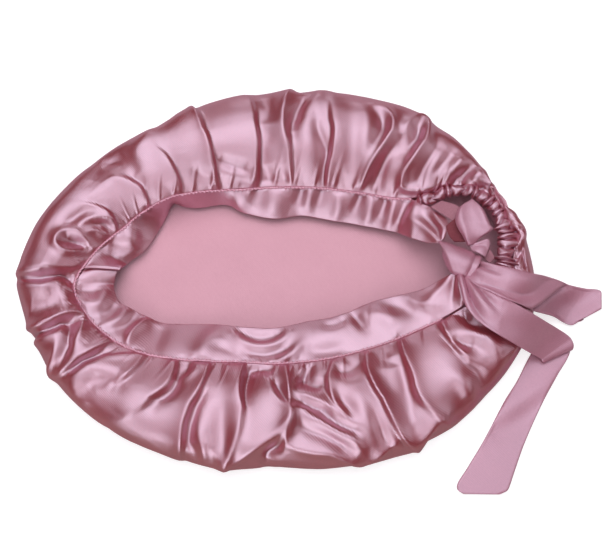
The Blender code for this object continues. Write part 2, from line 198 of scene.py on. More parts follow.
# Each light's size and place in metres, its turn, its power in watts and its colour
put_light("overhead_light", 2.3, (-0.10, 0.36, 1.30), (-7, -4, 0), 23.0, (1.0, 0.97, 1.04))
fill_light = put_light("fill_light", 2.6, (0.0, 0.20, 1.50), (0, 0, 0), 12.0, (1.0, 0.97, 1.0))
fill_light.visible_glossy = False
put_light("front_light", 1.3, (-0.35, -1.10, 0.68), (58, 0, -16), 11.0, (1.0, 0.97, 1.02))
put_light("far_light", 0.8, (-0.10, 1.60, 0.45), (-74, 0, 0), 2.6, (1.0, 0.97, 1.02))
put_light("right_light", 1.0, (1.30, 0.10, 0.80), (0, 58, 0), 2.6, (1.0, 0.97, 1.02))
scene.view_settings.view_transform = "Standard"


def put_object(name, points, faces, kinds=None):
    """A smooth object from points in millimetres, faces and each face's material number."""
    mesh = bpy.data.meshes.new(name)
    mesh.from_pydata((np.array(points) * MILLIMETRE).tolist(), [], faces)
    if kinds is not None:
        mesh.polygons.foreach_set("material_index", kinds)
    mesh.shade_smooth()
    made = bpy.data.objects.new(name, mesh)
    scene.collection.objects.link(made)
    return made


def put_table(name, depth):
    """A wide level square, this far below the bonnet's lowest points, in metres."""
    half = TABLE_HALF_SIZE
    corners = [(-half, -half, 0.0), (half, -half, 0.0), (half, half, 0.0), (-half, half, 0.0)]
    made = put_object(name, corners, [(0, 1, 2, 3)])
    made.location = (0.0, 0.0, -depth)
    return made


table = put_table("table", TABLE_DEPTH)
table_finish = Finish("table")
table_face = table_finish.node(
    "ShaderNodeBsdfPrincipled",
    Base_Color=TABLE_COLOUR,
    Roughness=0.8,
    Emission_Color=(1.0, 1.0, 1.0, 1.0),
    Emission_Strength=TABLE_GLOW,
)
table_finish.node("ShaderNodeOutputMaterial", Surface=table_face)
table.data.materials.append(table_finish.material)
table.visible_glossy = False

# What the satin mirrors of the table is darker and browner in front than behind
mirrored = put_table("mirrored_table", MIRRORED_DEPTH)
mirrored_finish = Finish("mirrored_table")
mirrored_place = mirrored_finish.node("ShaderNodeTexCoord", output=3)
mirrored_depth = mirrored_finish.node("ShaderNodeSeparateXYZ", output=1, Vector=mirrored_place)
mirrored_share = (mirrored_depth * 4.0 + 0.5).between(0.0, 1.0)
mirrored_colour = mirrored_finish.blend(mirrored_share, MIRRORED_NEAR, MIRRORED_FAR)
mirrored_face = mirrored_finish.node("ShaderNodeEmission", Color=mirrored_colour, Strength=1.0)
mirrored_finish.node("ShaderNodeOutputMaterial", Surface=mirrored_face)
mirrored.data.materials.append(mirrored_finish.material)
mirrored.visible_camera = False
mirrored.visible_diffuse = False
mirrored.visible_shadow = False

# ------------------------------------------------------------------------- the crown
# A big round of satin, drawn up on its edge into gathers. It lies flat in the middle,
# turns up round its rim and comes back over to the seam in puffs and sharp creases.

SATIN_THICKNESS = 0.7
MIDDLE = np.array([4.0, -4.0])
CREST_SHARE = 0.57
CREST_SHIFT = -0.05
CREST_ROUNDNESS = 0.9
RIM_SQUARENESS = 0.72
FLOOR_SHARE = 1.30
UNDER_RIM = 14.0

# One row for each section round the crown:
# rim clock angle, seam x, seam y, seam height, crest height, rim reach, rim height.
# The seam was picked off the photograph by eye, turned into millimetres by a scratch
# script and moved by hand in places. The rim's reach was measured from the photograph's
# outline by a scratch script, and then corrected from what a second one measured
CROWN_SECTIONS = (
    (0, 144.5, 0.0, 23, 27, 154, 10),
    (8, 146.5, 12.0, 23, 27, 152.5, 10),
    (15, 147.0, 23.0, 24, 28, 149, 10),
    (21, 143.5, 34.0, 24, 28, 143.5, 11),
    (26, 138.0, 44.5, 23, 28, 144.5, 11),
    (31, 130.0, 52.5, 22, 28, 144.5, 11),
    (36, 118.0, 57.0, 21, 29, 144.5, 11),
    (41, 106.0, 56.0, 20, 30, 144.5, 11),
    (46, 95.5, 51.5, 18, 31, 143, 11),
    (53, 79.0, 50.5, 16, 31, 142.5, 12),
    (65, 55.0, 54.5, 16, 31, 136, 12),
    (78, 29.0, 58.0, 16, 31, 130.5, 12),
    (91, 4.0, 58.5, 16, 31, 127, 12),
    (102, -21.0, 57.0, 16, 31, 127, 12),
    (115, -45.0, 54.5, 18, 31, 128, 12),
    (126, -64.5, 49.5, 20, 30, 128.5, 12),
    (140, -80.5, 40.5, 18, 29, 136, 11),
    (155, -92.0, 31.0, 16, 28, 146, 11),
    (168, -108.0, 15.5, 16, 27, 155, 10),
    (180, -120.0, -6.0, 16, 26, 158, 10),
    (192, -112.5, -24.5, 16, 24, 151.5, 8.5),
    (205, -100.0, -38.0, 16, 22, 145, 7.5),
    (218, -85.0, -47.5, 16, 22.5, 136.5, 7.5),
    (230, -65.5, -53.0, 16, 23, 129, 7.5),
    (243, -39.0, -55.5, 16, 23.5, 122, 7.5),
    (257, -19.0, -56.0, 16, 23.5, 117, 7.5),
    (271, 2.0, -57.0, 16, 23.5, 114, 7.5),
    (285, 23.0, -55.5, 16, 23.5, 118, 7.5),
    (296, 40.5, -52.5, 16, 23.5, 123.5, 7.5),
    (313, 71.5, -43.0, 16, 23.5, 133, 7.5),
    (327, 100.5, -30.2, 17, 23.5, 139, 7.5),
    (338, 118.5, -20.5, 20, 24, 146, 8.5),
    (349, 136.0, -14.0, 22, 27, 153, 10),
)

# One row for each fold of the crown, its line read off the photograph: how far its ridge stands up, or its
# hollow goes down where that is below nought; its step, by which one side laps over the other; the
# photograph's side, north at the top, that is raised and that its first width is for; its width there and on
# the other side; how rounded it is; how full it is at its line's start and at its end; and the columns and
# rows of the photograph that the line runs through
CROWN_FOLDS = (
    # the far side, from the left end to the nape
    (0.6, 1.8, "S", 8, 5, 1.3, 1, 0.3,
     ((151, 207), (147, 198), (142, 187), (131, 179), (117, 175), (107, 178))),
    (-2.2, 0, "S", 6, 6, 2, 0.4, 0.8, ((138, 176), (128, 166), (114, 160), (100, 164))),
    (2, 0, "S", 6, 6, 1.8, 0.5, 0.8, ((136, 160), (138, 150), (145, 140), (150, 133))),
    (-2.4, 0, "S", 7, 7, 2, 0.6, 0.8, ((124, 152), (113, 158), (100, 168), (92, 180))),
    (0.5, 1.8, "W", 9, 6, 1.3, 1, 0.2, ((182, 188), (180, 180), (174, 166), (166, 154), (157, 145))),
    (1.2, 1.6, "W", 9, 9, 1.3, 1, 1, ((219, 188), (215, 165), (208, 136), (200, 118), (191, 104))),
    (0.9, 0, "W", 1.6, 1.6, 1.6, 0.2, 1, ((207, 140), (201, 124), (195, 112), (190, 105))),
    (1.2, 0, "W", 9, 9, 2, 0.3, 1, ((184, 150), (183, 130), (182, 112))),
    (-2.4, 0, "S", 3, 4.5, 1.7, 0.8, 0.6, ((219, 160), (232, 165), (247, 170))),
    (0.8, 0, "S", 4, 3, 1.8, 0.7, 0.7, ((222, 174), (234, 175), (246, 181))),
    (-1.4, 0, "S", 4, 4, 1.8, 0.7, 0.7, ((196, 172), (205, 176), (214, 177))),
    (1.6, 0, "W", 13, 10, 2.2, 0.5, 0.9, ((236, 150), (237, 128), (240, 106))),
    (0.3, 2.6, "W", 9, 9, 1.2, 1, 0.8, ((258, 186), (259, 165), (259, 140), (256, 120), (254, 108))),
    (-1.8, 0, "W", 6, 8, 2, 0.5, 0.8, ((268, 125), (268, 108), (262, 98))),
    (-1.6, 0, "W", 4, 5, 1.8, 0.9, 0.4, ((270, 184), (268, 174), (266, 164))),
    (2.6, 0.6, "W", 8, 3, 1.4, 0.7, 1, ((289, 150), (285, 132), (283, 118), (286, 104), (292, 92))),
    (-3, 0, "W", 3, 6, 1.7, 0.8, 0.9, ((292, 132), (294, 120), (299, 108), (306, 98))),
    (0.4, 1.4, "W", 6, 5, 1.2, 1, 0.5, ((293, 186), (292, 165), (291, 145), (288, 132))),
    (-1.6, 0, "W", 4, 4, 1.8, 1, 0.3, ((286, 184), (284, 176), (279, 168))),
    (1.8, 0, "W", 5, 7, 1.7, 0.3, 1, ((300, 128), (306, 112), (314, 99), (323, 90))),
    (0.5, -2.6, "W", 6, 7, 1.3, 1, 0.6, ((325, 186), (327, 168), (331, 148), (333, 130), (330, 112))),
    (-2.6, 0, "W", 5, 3, 1.6, 0.6, 0.5, ((327, 156), (323, 142), (318, 128), (317, 118))),
    (1.5, 0, "W", 8, 9, 2, 0.4, 0.9, ((311, 170), (309, 150), (308, 132))),
    (1.4, 0, "W", 6, 10, 2, 0.5, 1, ((344, 165), (343, 140), (338, 118), (334, 102))),
    (-1.4, 0, "W", 6, 6, 2, 0.6, 0.6, ((352, 165), (353, 145), (352, 128))),
    (2, 0, "W", 6, 6, 1.8, 0.5, 0.9, ((362, 160), (365, 140), (366, 122), (362, 108))),
    (2.4, 0.6, "W", 3.5, 2.5, 1.4, 1, 0.8,
     ((361, 187), (368, 170), (377, 154), (386, 139), (392, 127), (391, 116), (383, 108), (373, 104))),
    (-3, 0, "W", 5, 4, 1.7, 0.6, 0.9, ((376, 147), (381, 134), (383, 123), (378, 114))),
    (-2.4, 0, "W", 3, 4, 1.6, 1, 0.6, ((376, 182), (382, 168), (389, 154), (397, 140))),
    (-1.6, 0, "W", 4, 4, 1.8, 0.6, 0.8, ((394, 160), (400, 148), (402, 134))),
    (2.6, 0, "W", 3, 3, 1.5, 1, 0.8,
     ((402, 184), (404, 172), (411, 160), (420, 147), (427, 134),
      (427, 123), (420, 117), (410, 120), (404, 128))),
    (-3, 0, "W", 4, 3, 1.7, 0.7, 0.9, ((408, 152), (412, 142), (418, 132), (417, 126))),
    (2, 0, "S", 2.5, 2.5, 1.5, 0.9, 0.9, ((401, 180), (403, 187), (412, 189), (424, 188), (434, 186))),
    (-2.2, 0, "W", 3, 4, 1.6, 0.9, 0.6, ((418, 180), (424, 166), (432, 153), (438, 140))),
    (-1.6, 0, "W", 4, 5, 1.8, 0.8, 0.8, ((433, 176), (444, 162), (452, 152))),
    (2, 0, "W", 4, 4, 1.7, 0.7, 0.9, ((443, 182), (454, 166), (462, 158))),
    (-2, 0, "W", 3, 4, 1.7, 0.8, 0.7, ((456, 184), (466, 172), (472, 166))),
    (2, 0, "W", 4, 4, 1.7, 0.7, 0.9, ((466, 188), (474, 178), (481, 172))),
    # the nape
    (-1.8, 0, "W", 3, 3, 1.7, 0.8, 0.7, ((478, 194), (486, 188), (491, 186))),
    (2.2, 0, "N", 3, 3, 1.5, 0.8, 0.8,
     ((500, 236), (507, 228), (515, 225), (521, 230), (520, 240), (512, 248), (505, 252))),
    (-2.4, 0, "N", 3, 3, 1.6, 0.8, 0.8, ((506, 240), (513, 234), (516, 236))),
    (-3, 0, "W", 4, 4, 1.7, 0.8, 0.8, ((512, 258), (520, 250), (525, 256), (527, 268))),
    (2, 0, "W", 4, 4, 1.7, 0.8, 0.8, ((500, 222), (508, 216), (512, 219))),
    (-1.6, 0, "W", 4, 4, 1.7, 0.8, 0.8, ((494, 212), (498, 208))),
    # the left end
    (-2.6, 0, "S", 5, 5, 1.8, 0.6, 0.8, ((98, 207), (86, 210), (74, 218), (66, 226))),
    (0.8, 1.5, "S", 5, 4, 1.4, 1, 0.4, ((118, 229), (115, 220), (109, 211), (98, 205), (84, 202))),
    (2, 0, "S", 3, 3, 1.6, 0.8, 0.6, ((110, 219), (99, 217), (88, 219), (77, 226))),
    (-1.8, 0, "S", 3, 3, 1.6, 0.9, 0.5, ((112, 229), (103, 224), (92, 226))),
    (1.4, 0, "S", 2.5, 2.5, 1.6, 0.7, 0.7, ((106, 236), (96, 230), (86, 232))),
    (2.4, 0, "S", 3, 3, 1.5, 0.7, 1,
     ((91, 249), (86, 240), (77, 231), (66, 229), (58, 235), (57, 243), (64, 250), (76, 250), (85, 247))),
    (-2.8, 0, "S", 3.5, 3.5, 1.7, 0.9, 0.8, ((87, 247), (78, 243), (68, 240))),
    (1.8, 0, "S", 7, 7, 2, 0.3, 0.8, ((75, 262), (55, 258), (32, 256))),
    (2.6, 0.6, "N", 6, 2.5, 1.4, 0.6, 1, ((68, 268), (56, 268), (44, 267), (32, 271), (20, 274))),
    (-2.8, 0, "N", 3, 4, 1.6, 0.9, 0.9, ((66, 275), (54, 275), (42, 276), (30, 276), (21, 277))),
    (-2.4, 0, "N", 3, 3, 1.5, 1, 0.4, ((72, 281), (65, 276), (58, 272))),
    (2.4, 0, "N", 3, 5, 1.5, 0.6, 1, ((72, 290), (64, 281), (56, 281), (43, 285), (31, 283), (20, 281))),
    (-2.2, 0, "N", 7, 8, 2, 0.7, 0.8, ((62, 300), (46, 304), (30, 303))),
    (2, 0, "N", 6, 6, 1.8, 0.8, 0.7, ((74, 306), (66, 298), (64, 286))),
    (2.8, 0.8, "N", 6, 2.5, 1.3, 0.8, 1,
     ((84, 315), (72, 314), (60, 316), (48, 321), (38, 326), (27, 331))),
    (-3, 0, "N", 2.5, 4, 1.5, 0.9, 0.8, ((74, 320), (62, 322), (52, 327), (40, 332), (31, 337))),
    (2.4, 0, "N", 3, 3.5, 1.5, 0.4, 1, ((64, 333), (54, 334), (44, 337), (34, 344))),
    (-3.2, 0, "W", 4, 3.5, 1.6, 0.9, 0.7, ((73, 322), (70, 335), (67, 350), (62, 363))),
    (2.2, 0, "W", 3, 3, 1.5, 0.6, 1, ((58, 342), (56, 355), (52, 368), (50, 380))),
    (2.2, 0, "W", 3, 4, 1.5, 0.9, 0.6, ((84, 318), (80, 330), (76, 342), (73, 352))),
    (1.4, 0, "N", 6, 6, 2, 0.6, 0.6, ((100, 332), (90, 336), (82, 342))),
    (1.4, 1.6, "N", 7, 3.5, 1.3, 1, 1, ((113, 341), (100, 348), (86, 356), (72, 366), (60, 376))),
    (-3, 0, "N", 2.5, 4, 1.5, 0.8, 0.6, ((104, 352), (92, 357), (80, 363), (68, 372))),
    (1.4, 0, "S", 3, 3, 1.6, 0.8, 0.6, ((142, 355), (124, 356), (106, 358), (90, 364), (76, 374))),
    (0.8, 1.8, "N", 4, 6, 1.3, 1, 0.4, ((146, 356), (140, 364), (133, 372), (124, 380), (113, 384))),
    (1.5, 0, "S", 5, 6, 2, 0.6, 0.8, ((120, 373), (105, 367), (90, 368), (79, 376), (75, 388), (82, 400))),
    (-2, 0, "S", 6, 5, 2, 0.7, 0.7, ((118, 384), (106, 381), (95, 381), (88, 387))),
    # the near side
    (0.8, 1.8, "W", 7, 4, 1.3, 1, 0.6,
     ((178, 360), (175, 374), (169, 386), (160, 394), (150, 402), (138, 412))),
    (-2.2, 0, "W", 3, 4, 1.6, 0.9, 0.5, ((180, 372), (175, 386), (166, 396), (154, 406))),
    (1.6, 0, "S", 9, 9, 2, 0.5, 0.8, ((150, 384), (134, 398), (122, 416))),
    (1.4, 0, "W", 3, 3, 1.6, 0.8, 0.8, ((196, 362), (196, 370), (188, 376), (178, 380))),
    (-1.6, 0, "W", 3, 3, 1.6, 0.8, 0.6, ((188, 366), (186, 372), (182, 376))),
    (1.2, 1.8, "W", 7, 3.5, 1.3, 1, 0.9,
     ((211, 363), (207, 378), (199, 394), (191, 408), (185, 424), (183, 440), (182, 456))),
    (-2.4, 0, "W", 2.5, 4, 1.5, 0.6, 0.8, ((203, 396), (195, 412), (190, 428), (189, 444))),
    (2.4, 0, "W", 4, 4, 1.6, 0.2, 1, ((200, 420), (200, 436), (203, 450), (206, 460))),
    (-2.2, 0, "W", 6, 6, 1.9, 0.4, 0.8, ((222, 400), (222, 420), (224, 440), (226, 452))),
    (2.2, 0, "W", 4, 6, 1.6, 0.2, 1, ((206, 436), (213, 450), (224, 462), (232, 466))),
    (1.6, 0, "W", 7, 5, 1.8, 0.7, 0.7, ((232, 370), (234, 390), (236, 408))),
    (0.6, -2.6, "E", 8, 5, 1.2, 1, 0.5, ((246, 364), (243, 378), (241, 392), (244, 408), (242, 420))),
    (-3.2, 0, "W", 2, 6, 1.5, 1, 0.2, ((250, 368), (247, 382), (246, 396), (247, 408))),
    (2.4, 0, "W", 5, 3, 1.5, 0.4, 1, ((243, 412), (240, 426), (234, 442), (227, 458), (222, 466))),
    (-1.4, 0, "N", 4, 4, 1.7, 0.8, 0.8, ((252, 369), (262, 368), (274, 371))),
    (1, 0, "W", 9, 9, 2.2, 0.5, 0.5, ((263, 386), (259, 404), (254, 422))),
    (1.6, 0.4, "W", 7, 2.5, 1.4, 0.7, 0.9, ((268, 380), (274, 392), (281, 402), (291, 413))),
    (-2.2, 0, "W", 2.5, 3, 1.5, 0.8, 0.6, ((276, 384), (282, 396), (288, 404))),
    (1.6, 0.8, "W", 4, 2.5, 1.3, 1, 0.8, ((286, 363), (288, 378), (290, 394), (291, 412))),
    (2.8, 0.6, "N", 8, 3.5, 1.4, 0.8, 1,
     ((293, 417), (285, 428), (273, 439), (259, 448), (245, 457), (232, 464))),
    (-3.6, 0, "N", 3, 5, 1.6, 0.6, 1, ((286, 440), (277, 448), (268, 456), (266, 464))),
    (2.4, 0, "W", 4, 3.5, 1.5, 1, 0.8, ((293, 417), (289, 428), (286, 440), (285, 452))),
    (1.6, 0, "W", 2.2, 3.5, 1.4, 1, 0.4, ((304, 366), (299, 376), (293, 386))),
    (-2.6, 0, "W", 2.5, 4, 1.5, 1, 0.4, ((309, 367), (303, 378), (297, 390))),
    (2.2, 0, "N", 4, 3, 1.5, 0.6, 1, ((298, 394), (308, 398), (320, 404), (334, 414), (350, 424))),
    (-3, 0, "N", 3, 3.5, 1.6, 0.6, 0.9, ((300, 401), (312, 407), (326, 415), (340, 424), (352, 430))),
    (2.4, 0, "N", 3, 4, 1.6, 0.8, 0.9,
     ((296, 409), (308, 416), (322, 424), (338, 433), (352, 440), (360, 450))),
    (-2.8, 0, "N", 3.5, 3.5, 1.7, 0.6, 0.8, ((298, 426), (310, 432), (324, 437), (338, 444), (348, 452))),
    (2.6, 0, "N", 4, 3, 1.6, 0.8, 1,
     ((287, 446), (300, 450), (316, 453), (332, 454), (348, 460), (360, 464))),
    (-2.6, 0, "N", 4, 4, 1.7, 0.8, 0.8, ((300, 376), (312, 384), (322, 386))),
    (1, 1.8, "E", 7, 4, 1.3, 1, 0.4,
     ((331, 364), (327, 376), (327, 388), (332, 402), (342, 416), (354, 425))),
    (-2.6, 0, "E", 4, 4, 1.6, 0.5, 0.7, ((338, 394), (344, 404), (350, 412))),
    (-2.2, 0, "N", 4, 5, 1.7, 0.9, 0.6, ((334, 372), (348, 370), (360, 362))),
    (1.6, 0, "E", 6, 5, 1.8, 0.5, 0.8, ((354, 388), (360, 402), (366, 418), (374, 436))),
    (1.2, 1.8, "E", 5, 4, 1.3, 1, 1,
     ((364, 358), (366, 372), (374, 390), (384, 408), (394, 426), (404, 442), (416, 452))),
    (-2.6, 0, "E", 3, 5, 1.6, 0.3, 0.9, ((372, 408), (378, 424), (384, 440), (392, 452))),
    (2.6, 0, "N", 4, 3, 1.5, 0.5, 1, ((362, 462), (374, 459), (384, 452), (394, 446))),
    (-1.8, 0, "E", 7, 7, 1.9, 0.6, 0.8, ((382, 368), (392, 388), (404, 408), (414, 424))),
    (1.4, 1.8, "E", 6, 4, 1.3, 1, 1,
     ((399, 342), (404, 358), (411, 378), (417, 396), (428, 410), (438, 420))),
    (-2.2, 0, "E", 4, 5, 1.7, 0.7, 0.8, ((400, 366), (406, 386), (412, 404))),
    (2.4, 0, "N", 5, 4, 1.6, 0.6, 1, ((412, 452), (419, 446), (426, 436), (436, 424), (448, 420))),
    (1.2, 1.8, "E", 6, 4, 1.3, 1, 0.9, ((438, 322), (446, 336), (456, 350), (464, 358), (472, 364))),
    (-3, 0, "N", 4, 5, 1.7, 0.8, 0.7, ((452, 340), (462, 344), (474, 346))),
    (2, 0, "N", 5, 5, 1.8, 0.5, 0.9, ((462, 318), (476, 334), (490, 342), (498, 356))),
    (-3, 0, "N", 4, 4, 1.7, 1, 0.6, ((462, 312), (468, 322), (478, 328))),
    (2, 0, "N", 7, 5, 1.8, 0.5, 0.9, ((450, 372), (462, 382), (470, 398))),
    (-2.4, 0, "E", 5, 5, 1.8, 0.5, 0.8, ((466, 362), (478, 372), (484, 388))),
)

# How a fold is shaped: full, tapered at both ends, leaning, and lapped where it has a step
FOLD_SIDES = {"W": (-1.0, 0.0), "E": (1.0, 0.0), "N": (0.0, 1.0), "S": (0.0, -1.0)}
FOLD_STEPS = 8
FOLD_FULLNESS = 1.4
FOLD_TAPER = 0.25
FOLD_LEAN = 0.35
FOLD_REACH = 2.5
LAP_EDGE = 0.8
LAP_DEPTH = 0.75
LIFT_IRONING = 1
LEAN_IRONING = 4
SEWN_FLAT_SHARE = 0.05
# The bare crown that the photograph's pixels are looked up on
READ_CLOCK_STEP = 0.25
READ_LAST_SHARE = 1.12
READ_SHARES = 225
READ_FACING = 20.0


def smooth_rows(rows, positions, period=0.0):
    """Read a table at the given positions, by a smooth curve through its rows.

    The first column is the position. With a period the table closes on itself.
    """
    table = np.array(rows, dtype=float)
    if period:
        before = table[-2:] - np.eye(1, table.shape[1])[0] * period
        after = table[:2] + np.eye(1, table.shape[1])[0] * period
    else:
        before = 2.0 * table[:1] - table[1:2]
        after = 2.0 * table[-1:] - table[-2:-1]
    table = np.concatenate([before, table, after])
    places = table[:, 0]
    where = np.searchsorted(places, positions, side="right") - 1
    where = np.clip(where, 1, len(places) - 3)
    start = table[where, 1:]
    end = table[where + 1, 1:]
    length = (places[where + 1] - places[where])[:, None]
    share = (positions[:, None] - places[where][:, None]) / length
    leave = (end - table[where - 1, 1:]) * length
    leave = leave / (places[where + 1] - places[where - 1])[:, None]
    arrive = (table[where + 2, 1:] - start) * length
    arrive = arrive / (places[where + 2] - places[where])[:, None]
    square = share * share
    cube = square * share
    return (
        (2.0 * cube - 3.0 * square + 1.0) * start
        + (cube - 2.0 * square + share) * leave
        + (3.0 * square - 2.0 * cube) * end
        + (cube - square) * arrive
    )


def unit(vectors):
    """The same vectors, one unit long."""
    return vectors / np.linalg.norm(vectors, axis=-1, keepdims=True)


def crown_sections(clocks):
    """The seam point and height, crest height, rim point and rim height at each clock."""
    read = smooth_rows(CROWN_SECTIONS, np.mod(clocks, 360.0), period=360.0)
    angle = np.radians(clocks)
    toward = np.stack([np.cos(angle), np.sin(angle)], axis=1)
    rim = MIDDLE + read[:, 4:5] * toward
    return read[:, 0:2], read[:, 2], read[:, 3], rim, read[:, 5]


def crown_points(clocks, shares):
    """The crown's outer face before its folds, a point for each clock and its share."""
    seam, seam_height, crest_height, rim, rim_height = crown_sections(clocks)
    across = rim - seam
    quarter = np.pi / 2.0
    crest_share = CREST_SHARE - CREST_SHIFT * np.sin(np.radians(clocks))
    rise = np.clip(shares / crest_share, 0.0, 1.0)
    fall = np.clip((shares - crest_share) / (1.0 - crest_share), 0.0, 1.0) * quarter
    under = np.clip((shares - 1.0) / (FLOOR_SHARE - 1.0), 0.0, 1.0) * quarter
    reach = crest_share * rise + (1.0 - crest_share) * np.sin(fall) ** RIM_SQUARENESS
    tuck = UNDER_RIM * (1.0 - np.cos(under))
    place = seam + across * reach[:, None] - unit(across) * tuck[:, None]
    rising = seam_height + (crest_height - seam_height) * np.sin(rise * quarter) ** CREST_ROUNDNESS
    falling = rim_height + (crest_height - rim_height) * np.cos(fall) ** RIM_SQUARENESS
    height = np.where(shares < crest_share, rising, falling)
    height = np.where(shares > 1.0, rim_height * (1.0 - np.sin(under)), height)
    return np.concatenate([place, height[:, None]], axis=1)


def crown_grid(clocks, shares):
    """The crown's points as a grid, clocks by shares."""
    both = np.meshgrid(clocks, shares, indexing="ij")
    points = crown_points(both[0].ravel(), both[1].ravel())
    return points.reshape(len(clocks), len(shares), 3)


def face_normals(grid, ring):
    """The unit normals of a grid of points, up where it runs outwards and anticlockwise."""
    if ring:
        along = np.roll(grid, -1, axis=0) - np.roll(grid, 1, axis=0)
    else:
        along = np.gradient(grid, axis=0)
    return unit(np.cross(np.gradient(grid, axis=1), along))


def nearest_on_line(points, line):
    """For each point, how far off the line it is, how far along, and its nearest point."""
    starts = line[:-1]
    steps = line[1:] - starts
    lengths = np.linalg.norm(steps, axis=1)
    places = np.concatenate([[0.0], np.cumsum(lengths)])
    least = np.full(len(points), np.inf)
    along = np.zeros(len(points))
    nearest = np.zeros_like(points)
    way = np.zeros_like(points)
    for start, step, length, place in zip(starts, steps, lengths, places):
        share = np.clip(((points - start) @ step) / (length * length), 0.0, 1.0)
        foot = start + share[:, None] * step
        apart = np.linalg.norm(points - foot, axis=1)
        closer = apart < least
        least[closer] = apart[closer]
        along[closer] = place + share[closer] * length
        nearest[closer] = foot[closer]
        way[closer] = step / length
    return least, along / places[-1], nearest, way


def lift_folds(face, normals, rows, place_line, near_columns):
    """Lift a face into its folds, and lean each fold towards its steeper side."""
    lift = np.zeros(face.shape[:2])
    lean = np.zeros(face.shape)
    for height, step, right_width, left_width, roundness, first_full, last_full, points in rows:
        points = np.array(points, dtype=float)
        table = np.concatenate([np.arange(len(points))[:, None], points], axis=1)
        wanted = np.linspace(0.0, len(points) - 1, (len(points) - 1) * FOLD_STEPS + 1)
        curve = smooth_rows(table, wanted)
        line = place_line(curve[:, 0], curve[:, 1])
        near = near_columns(points[:, 0], max(right_width, left_width))
        local = face[near].reshape(-1, 3)
        off, along, nearest, way = nearest_on_line(local, line)
        left_way = np.cross(normals[near].reshape(-1, 3), way)
        aside = ((local - nearest) * left_way).sum(axis=1)
        width = np.where(aside > 0.0, left_width, right_width)
        full = first_full + (last_full - first_full) * along
        ends = np.sin(np.pi * np.clip(along, 0.02, 0.98)) ** FOLD_TAPER
        profile = (np.exp(-((off / width) ** roundness)) * full * ends).reshape(len(near), -1)
        lap = LAP_DEPTH * step * np.tanh(aside / LAP_EDGE).reshape(len(near), -1)
        lift[near] += (height + lap) * profile
        tilt = FOLD_LEAN * abs(height) * (left_width - right_width) / (left_width + right_width)
        lean[near] -= (tilt * profile)[..., None] * left_way.reshape(len(near), -1, 3)
    return lift, lean


def folds_from_photo(rows):
    """Turn each fold's pixels into clocks and shares, and its sides into right and left."""
    clocks = np.arange(0.0, 360.0, READ_CLOCK_STEP)
    shares = np.linspace(0.0, READ_LAST_SHARE, READ_SHARES)
    face = crown_grid(clocks, shares)
    to_camera = np.array(camera.location) / MILLIMETRE - face
    hidden = (face_normals(face, ring=True) * to_camera).sum(axis=2) < READ_FACING
    pixels = np.where(hidden[..., None], np.inf, photo_pixels(face))
    found = []
    for height, step, side, side_width, other_width, roundness, first_full, last_full, marks in rows:
        nearest = [np.argmin(((pixels - mark) ** 2).sum(axis=2)) for mark in np.array(marks)]
        column, row = np.unravel_index(nearest, hidden.shape)
        turned = np.unwrap(clocks[column], period=360.0)
        line = face[column, row]
        along = line[-1] - line[0]
        raised_left = np.dot((-along[1], along[0]), FOLD_SIDES[side]) > 0.0
        right_width, left_width = (other_width, side_width) if raised_left else (side_width, other_width)
        found.append((height, step if raised_left else -step, right_width, left_width, roundness,
                      first_full, last_full, np.stack([turned, shares[row]], axis=1)))
    return found


def columns_near_clocks(clocks):
    """A choice of the columns whose clocks are within a fold's reach."""
    def choose(fold_clocks, width):
        middle = (fold_clocks.min() + fold_clocks.max()) / 2.0
        spread = fold_clocks.max() - fold_clocks.min()
        apart = np.abs(np.mod(clocks - middle + 180.0, 360.0) - 180.0)
        return np.nonzero(apart < spread / 2.0 + width * FOLD_REACH)[0]
    return choose


def ironed(grid, passes, ring):
    """The grid with each point drawn towards its neighbours, so that no fold is jagged."""
    for _ in range(passes):
        inner = grid[:, 1:-1]
        grid[:, 1:-1] = inner * 0.5 + (grid[:, 2:] + grid[:, :-2]) * 0.25
        if ring:
            grid = grid * 0.5 + (np.roll(grid, 1, axis=0) + np.roll(grid, -1, axis=0)) * 0.25
        else:
            grid[1:-1] = grid[1:-1] * 0.5 + (grid[2:] + grid[:-2]) * 0.25
    return grid


# The small tucks along the seam: from and to, in degrees, shares and millimetres
TUCK_SPACING = (2.0, 6.0)
TUCK_REACH = (0.04, 0.12)
TUCK_HEIGHT = (-0.6, 0.25)
TUCK_WIDTH = (0.5, 1.4)
TUCK_SLANT = (-3.0, 3.0)
TUCK_START = 0.03


def seam_gathers(clocks, shares):
    """The small tucks where the crown is drawn up on its seam, as heights."""
    chance = np.random.default_rng(7)
    total = np.zeros((len(clocks), len(shares)))
    middle = 0.0
    while middle < 360.0:
        middle += chance.uniform(*TUCK_SPACING)
        reach = chance.uniform(*TUCK_REACH)
        height = chance.uniform(*TUCK_HEIGHT)
        width = chance.uniform(*TUCK_WIDTH)
        slant = chance.uniform(*TUCK_SLANT)
        from_line = np.mod(clocks[:, None] - middle - slant * shares[None] + 180.0, 360.0) - 180.0
        along = np.exp(-((shares[None] / reach) ** 2)) * np.clip(shares[None] / TUCK_START, 0.0, 1.0)
        total += height * along * np.exp(-np.abs(from_line / width) ** 1.6)
    return total


# The elastic draws the nape up into fingers: the places of their creases as clock angles
NAPE_FIRST_CLOCK = -21.0
NAPE_LAST_CLOCK = 49.0
NAPE_FINGERS = 29
FINGER_WIDTH = (0.55, 1.45)
NAPE_PUCKER_HEIGHT = 1.5
NAPE_PUCKER_LEVEL = 0.6
NAPE_PUCKER_REACH = 0.18
NAPE_PUCKER_START = 0.04
nape_chance = np.random.default_rng(5)
nape_creases = np.cumsum(nape_chance.uniform(*FINGER_WIDTH, NAPE_FINGERS + 1))
nape_creases = (nape_creases - nape_creases[0]) / (nape_creases[-1] - nape_creases[0])
nape_creases = NAPE_FIRST_CLOCK + nape_creases * (NAPE_LAST_CLOCK - NAPE_FIRST_CLOCK)


